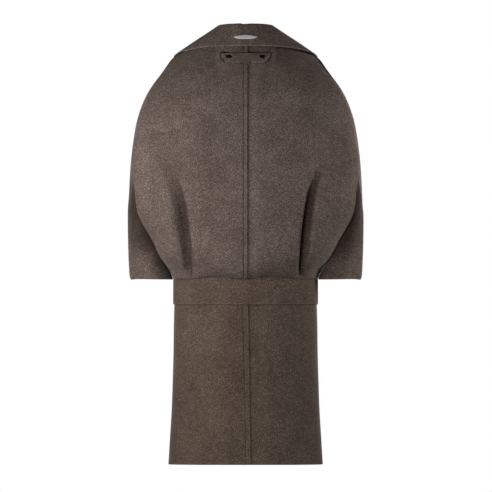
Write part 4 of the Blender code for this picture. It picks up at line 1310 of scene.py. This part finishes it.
def fill(node, inputs):
    """Sets a node's inputs, each to a value or by a link from another node's output."""
    for key, value in inputs.items():
        if isinstance(value, bpy.types.NodeSocket):
            node.id_data.links.new(value, node.inputs[key])
        else:
            node.inputs[key].default_value = value


def add_node(tree, kind, output, inputs=None, **settings):
    """The named output of a new node."""
    node = tree.nodes.new(kind)
    for key, value in settings.items():
        setattr(node, key, value)
    fill(node, inputs or {})
    return node.outputs[output]


def new_material(name):
    material = bpy.data.materials.new(name)
    material.use_nodes = True
    return material, material.node_tree, material.node_tree.nodes["Principled BSDF"]


def plain_material(name, colour, roughness, metallic, specular=0.5):
    """A plain colour with a fine grain along it."""
    material, tree, shader = new_material(name)
    place = add_node(tree, "ShaderNodeTexCoord", "Object")
    stretched = {"Vector": place, "Scale": (0.1, 1.0, 1.0)}
    place = add_node(tree, "ShaderNodeMapping", "Vector", stretched)
    grain = add_node(tree, "ShaderNodeTexNoise", "Fac", {"Vector": place, "Scale": 2500})
    relief = {"Height": grain, "Strength": 0.15, "Distance": 0.0001}
    fill(shader, {
        "Base Color": (*colour, 1), "Roughness": roughness, "Metallic": metallic,
        "Specular IOR Level": specular,
        "Normal": add_node(tree, "ShaderNodeBump", "Normal", relief),
    })
    return material


# ---------------------------------------------------------------- wool, light and camera

def hex_colour(value):
    """A linear colour from an sRGB hex string."""
    channels = [int(value[i:i + 2], 16) / 255 for i in (0, 2, 4)]
    return tuple(c / 12.92 if c <= 0.04045 else ((c + 0.055) / 1.055) ** 2.4 for c in channels)


def wool_material(name, colours):
    """Heather wool: light and dark fibres felted into a soft twill, with a short nap."""
    material, tree, shader = new_material(name)

    def noise(vector, scale, detail, roughness):
        inputs = {"Vector": vector, "Scale": scale, "Detail": detail, "Roughness": roughness}
        return add_node(tree, "ShaderNodeTexNoise", "Fac", inputs)

    def combine(operation, a, b):
        return add_node(tree, "ShaderNodeMath", 0, {0: a, 1: b}, operation=operation)

    def mixed(start, parts):
        """A sum of parts, each with its weight."""
        for part, weight in parts:
            start = combine("ADD", start, combine("MULTIPLY", part, weight))
        return start

    cloth = add_node(tree, "ShaderNodeUVMap", "UV", uv_map="cloth")
    stretched = {"Vector": cloth, "Scale": (1.0, 0.62, 1.0)}
    fibre_place = add_node(tree, "ShaderNodeMapping", "Vector", stretched)
    fibres = noise(fibre_place, 780, 2, 0.6)
    flecks = noise(fibre_place, 400, 2, 0.5)
    place = add_node(tree, "ShaderNodeTexCoord", "Object")
    clumps = noise(place, 110, 2, 0.5)
    mottle = noise(place, 17, 3, 0.6)
    ribs = {"Vector": cloth, "Scale": 150, "Distortion": 1.6, "Detail": 1, "Detail Scale": 2}
    twill = add_node(
        tree, "ShaderNodeTexWave", "Fac", ribs, wave_type="BANDS", bands_direction="DIAGONAL"
    )

    speckle = mixed(combine("MULTIPLY", fibres, 0.5), [(flecks, 0.5)])
    around = [(twill, 0.05), (clumps, 0.16), (mottle, 0.12)]
    speckle = mixed(speckle, [(combine("SUBTRACT", part, 0.5), share) for part, share in around])
    # The edge attribute lightens the wool with painted highlights and darkens it with painted
    # shade.
    painted_shading = add_node(tree, "ShaderNodeAttribute", "Fac", attribute_name="edge")
    speckle = mixed(speckle, [(painted_shading, 0.035)])
    ramp = tree.nodes.new("ShaderNodeValToRGB")
    stops = ramp.color_ramp.elements
    stops.new(0.5)
    for stop, position, colour in zip(stops, (0.34, 0.5, 0.68), colours):
        stop.position, stop.color = position, (*hex_colour(colour), 1)
    fill(ramp, {"Fac": speckle})

    height = mixed(combine("MULTIPLY", fibres, 0.6), [(twill, 0.35), (flecks, 0.5)])
    relief = {"Height": height, "Strength": 0.55, "Distance": 0.0006}
    fill(shader, {
        "Base Color": ramp.outputs["Color"],
        "Normal": add_node(tree, "ShaderNodeBump", "Normal", relief),
        "Roughness": 0.95, "Specular IOR Level": 0.15,
        "Sheen Weight": 0.12, "Sheen Roughness": 0.5, "Sheen Tint": (0.86, 0.76, 0.68, 1),
    })
    return material


def add_light(light):
    data = bpy.data.lights.new(light.name, "AREA")
    data.shape = "DISK"
    data.size, data.energy = light.size, light.power
    lamp = bpy.data.objects.new(light.name, data)
    lamp.location = light.location
    aim = Vector(light.target) - Vector(light.location)
    lamp.rotation_euler = aim.to_track_quat("-Z", "Y").to_euler()
    lamp.visible_camera = False
    bpy.context.scene.collection.objects.link(lamp)


def add_camera():
    """The photograph's frame: 2.5 mm a pixel, from straight behind with a long lens."""
    pixel, size = 0.0025, 492
    lens, sensor = 1500, 36
    data = bpy.data.cameras.new("camera")
    data.lens, data.sensor_width = lens, sensor
    distance = pixel * size * lens / sensor
    data.clip_start, data.clip_end = 1.0, 2 * distance
    camera = bpy.data.objects.new("camera", data)
    camera.location = (-0.001, distance, -0.520)
    camera.rotation_euler = (math.radians(90), 0, math.radians(180))
    bpy.context.scene.collection.objects.link(camera)
    bpy.context.scene.camera = camera


def add_world():
    """White where the camera sees it, and a faint warm light on the coat."""
    world = bpy.data.worlds.new("studio")
    bpy.context.scene.world = world
    world.use_nodes = True
    tree = world.node_tree
    soft = tree.nodes["Background"]
    fill(soft, {"Color": (1.0, 0.98, 0.96, 1), "Strength": 0.02})
    white = {"Color": (1, 1, 1, 1), "Strength": 1.0}
    seen = add_node(tree, "ShaderNodeBackground", 0, white)
    is_seen = add_node(tree, "ShaderNodeLightPath", "Is Camera Ray")
    mix = add_node(tree, "ShaderNodeMixShader", 0, {0: is_seen, 1: soft.outputs[0], 2: seen})
    fill(tree.nodes["World Output"], {"Surface": mix})


def add_floor(collection):
    half = FLOOR_HALF
    corners = [(-half, -half, 0), (half, -half, 0), (half, half, 0), (-half, half, 0)]
    material, _, shader = new_material("floor")
    fill(shader, {
        "Base Color": (0.82, 0.81, 0.8, 1), "Roughness": 0.9,
        "Emission Color": (1.0, 0.99, 0.97, 1), "Emission Strength": 0.70,
    })
    mesh = new_mesh("floor", corners, [(0, 1, 2, 3)])
    floor = add_shell("floor", mesh, material, collection)
    floor.visible_diffuse = False
    floor.visible_glossy = False
    floor.location = (0, 0, FLOOR_Z)


def main():
    scene = bpy.context.scene
    scene.view_settings.view_transform = "Standard"
    looks = bpy.data.collections.new("looks")
    scene.collection.children.link(looks)
    wool = wool_material("heather_wool", WOOL_COLOURS)
    # The darker copy is painted shade for the band and skirt.
    wool_shaded = wool_material("heather_wool_low", WOOL_SHADED_COLOURS)

    pieces = cloth_pieces()
    for piece in pieces:
        finer(piece)
        waist_wave(piece)
    share_normals(pieces)
    smooth_back = both_sides(next(piece for piece in pieces if piece.name == "back_left"))
    for piece in pieces:
        if piece.name != "collar":
            piece.grid = piece.grid + piece.normals * fold_relief(piece)[..., None]
    share_normals(pieces)
    for piece in pieces:
        sink_underarm(piece)
    share_normals(pieces)
    for piece in pieces:
        # The band and skirt take the darker copy of the wool, painted shade for the lower coat.
        in_painted_shade = piece.name.startswith(("skirt", "band"))
        shell = wall_object(piece, wool_shaded if in_painted_shade else wool, looks)
        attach(shell, "root")
        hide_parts(piece.name)

    add_details(pieces, smooth_back, wool, looks)

    add_floor(looks)
    add_world()
    for light in LIGHTS:
        add_light(light)
    add_camera()


main()
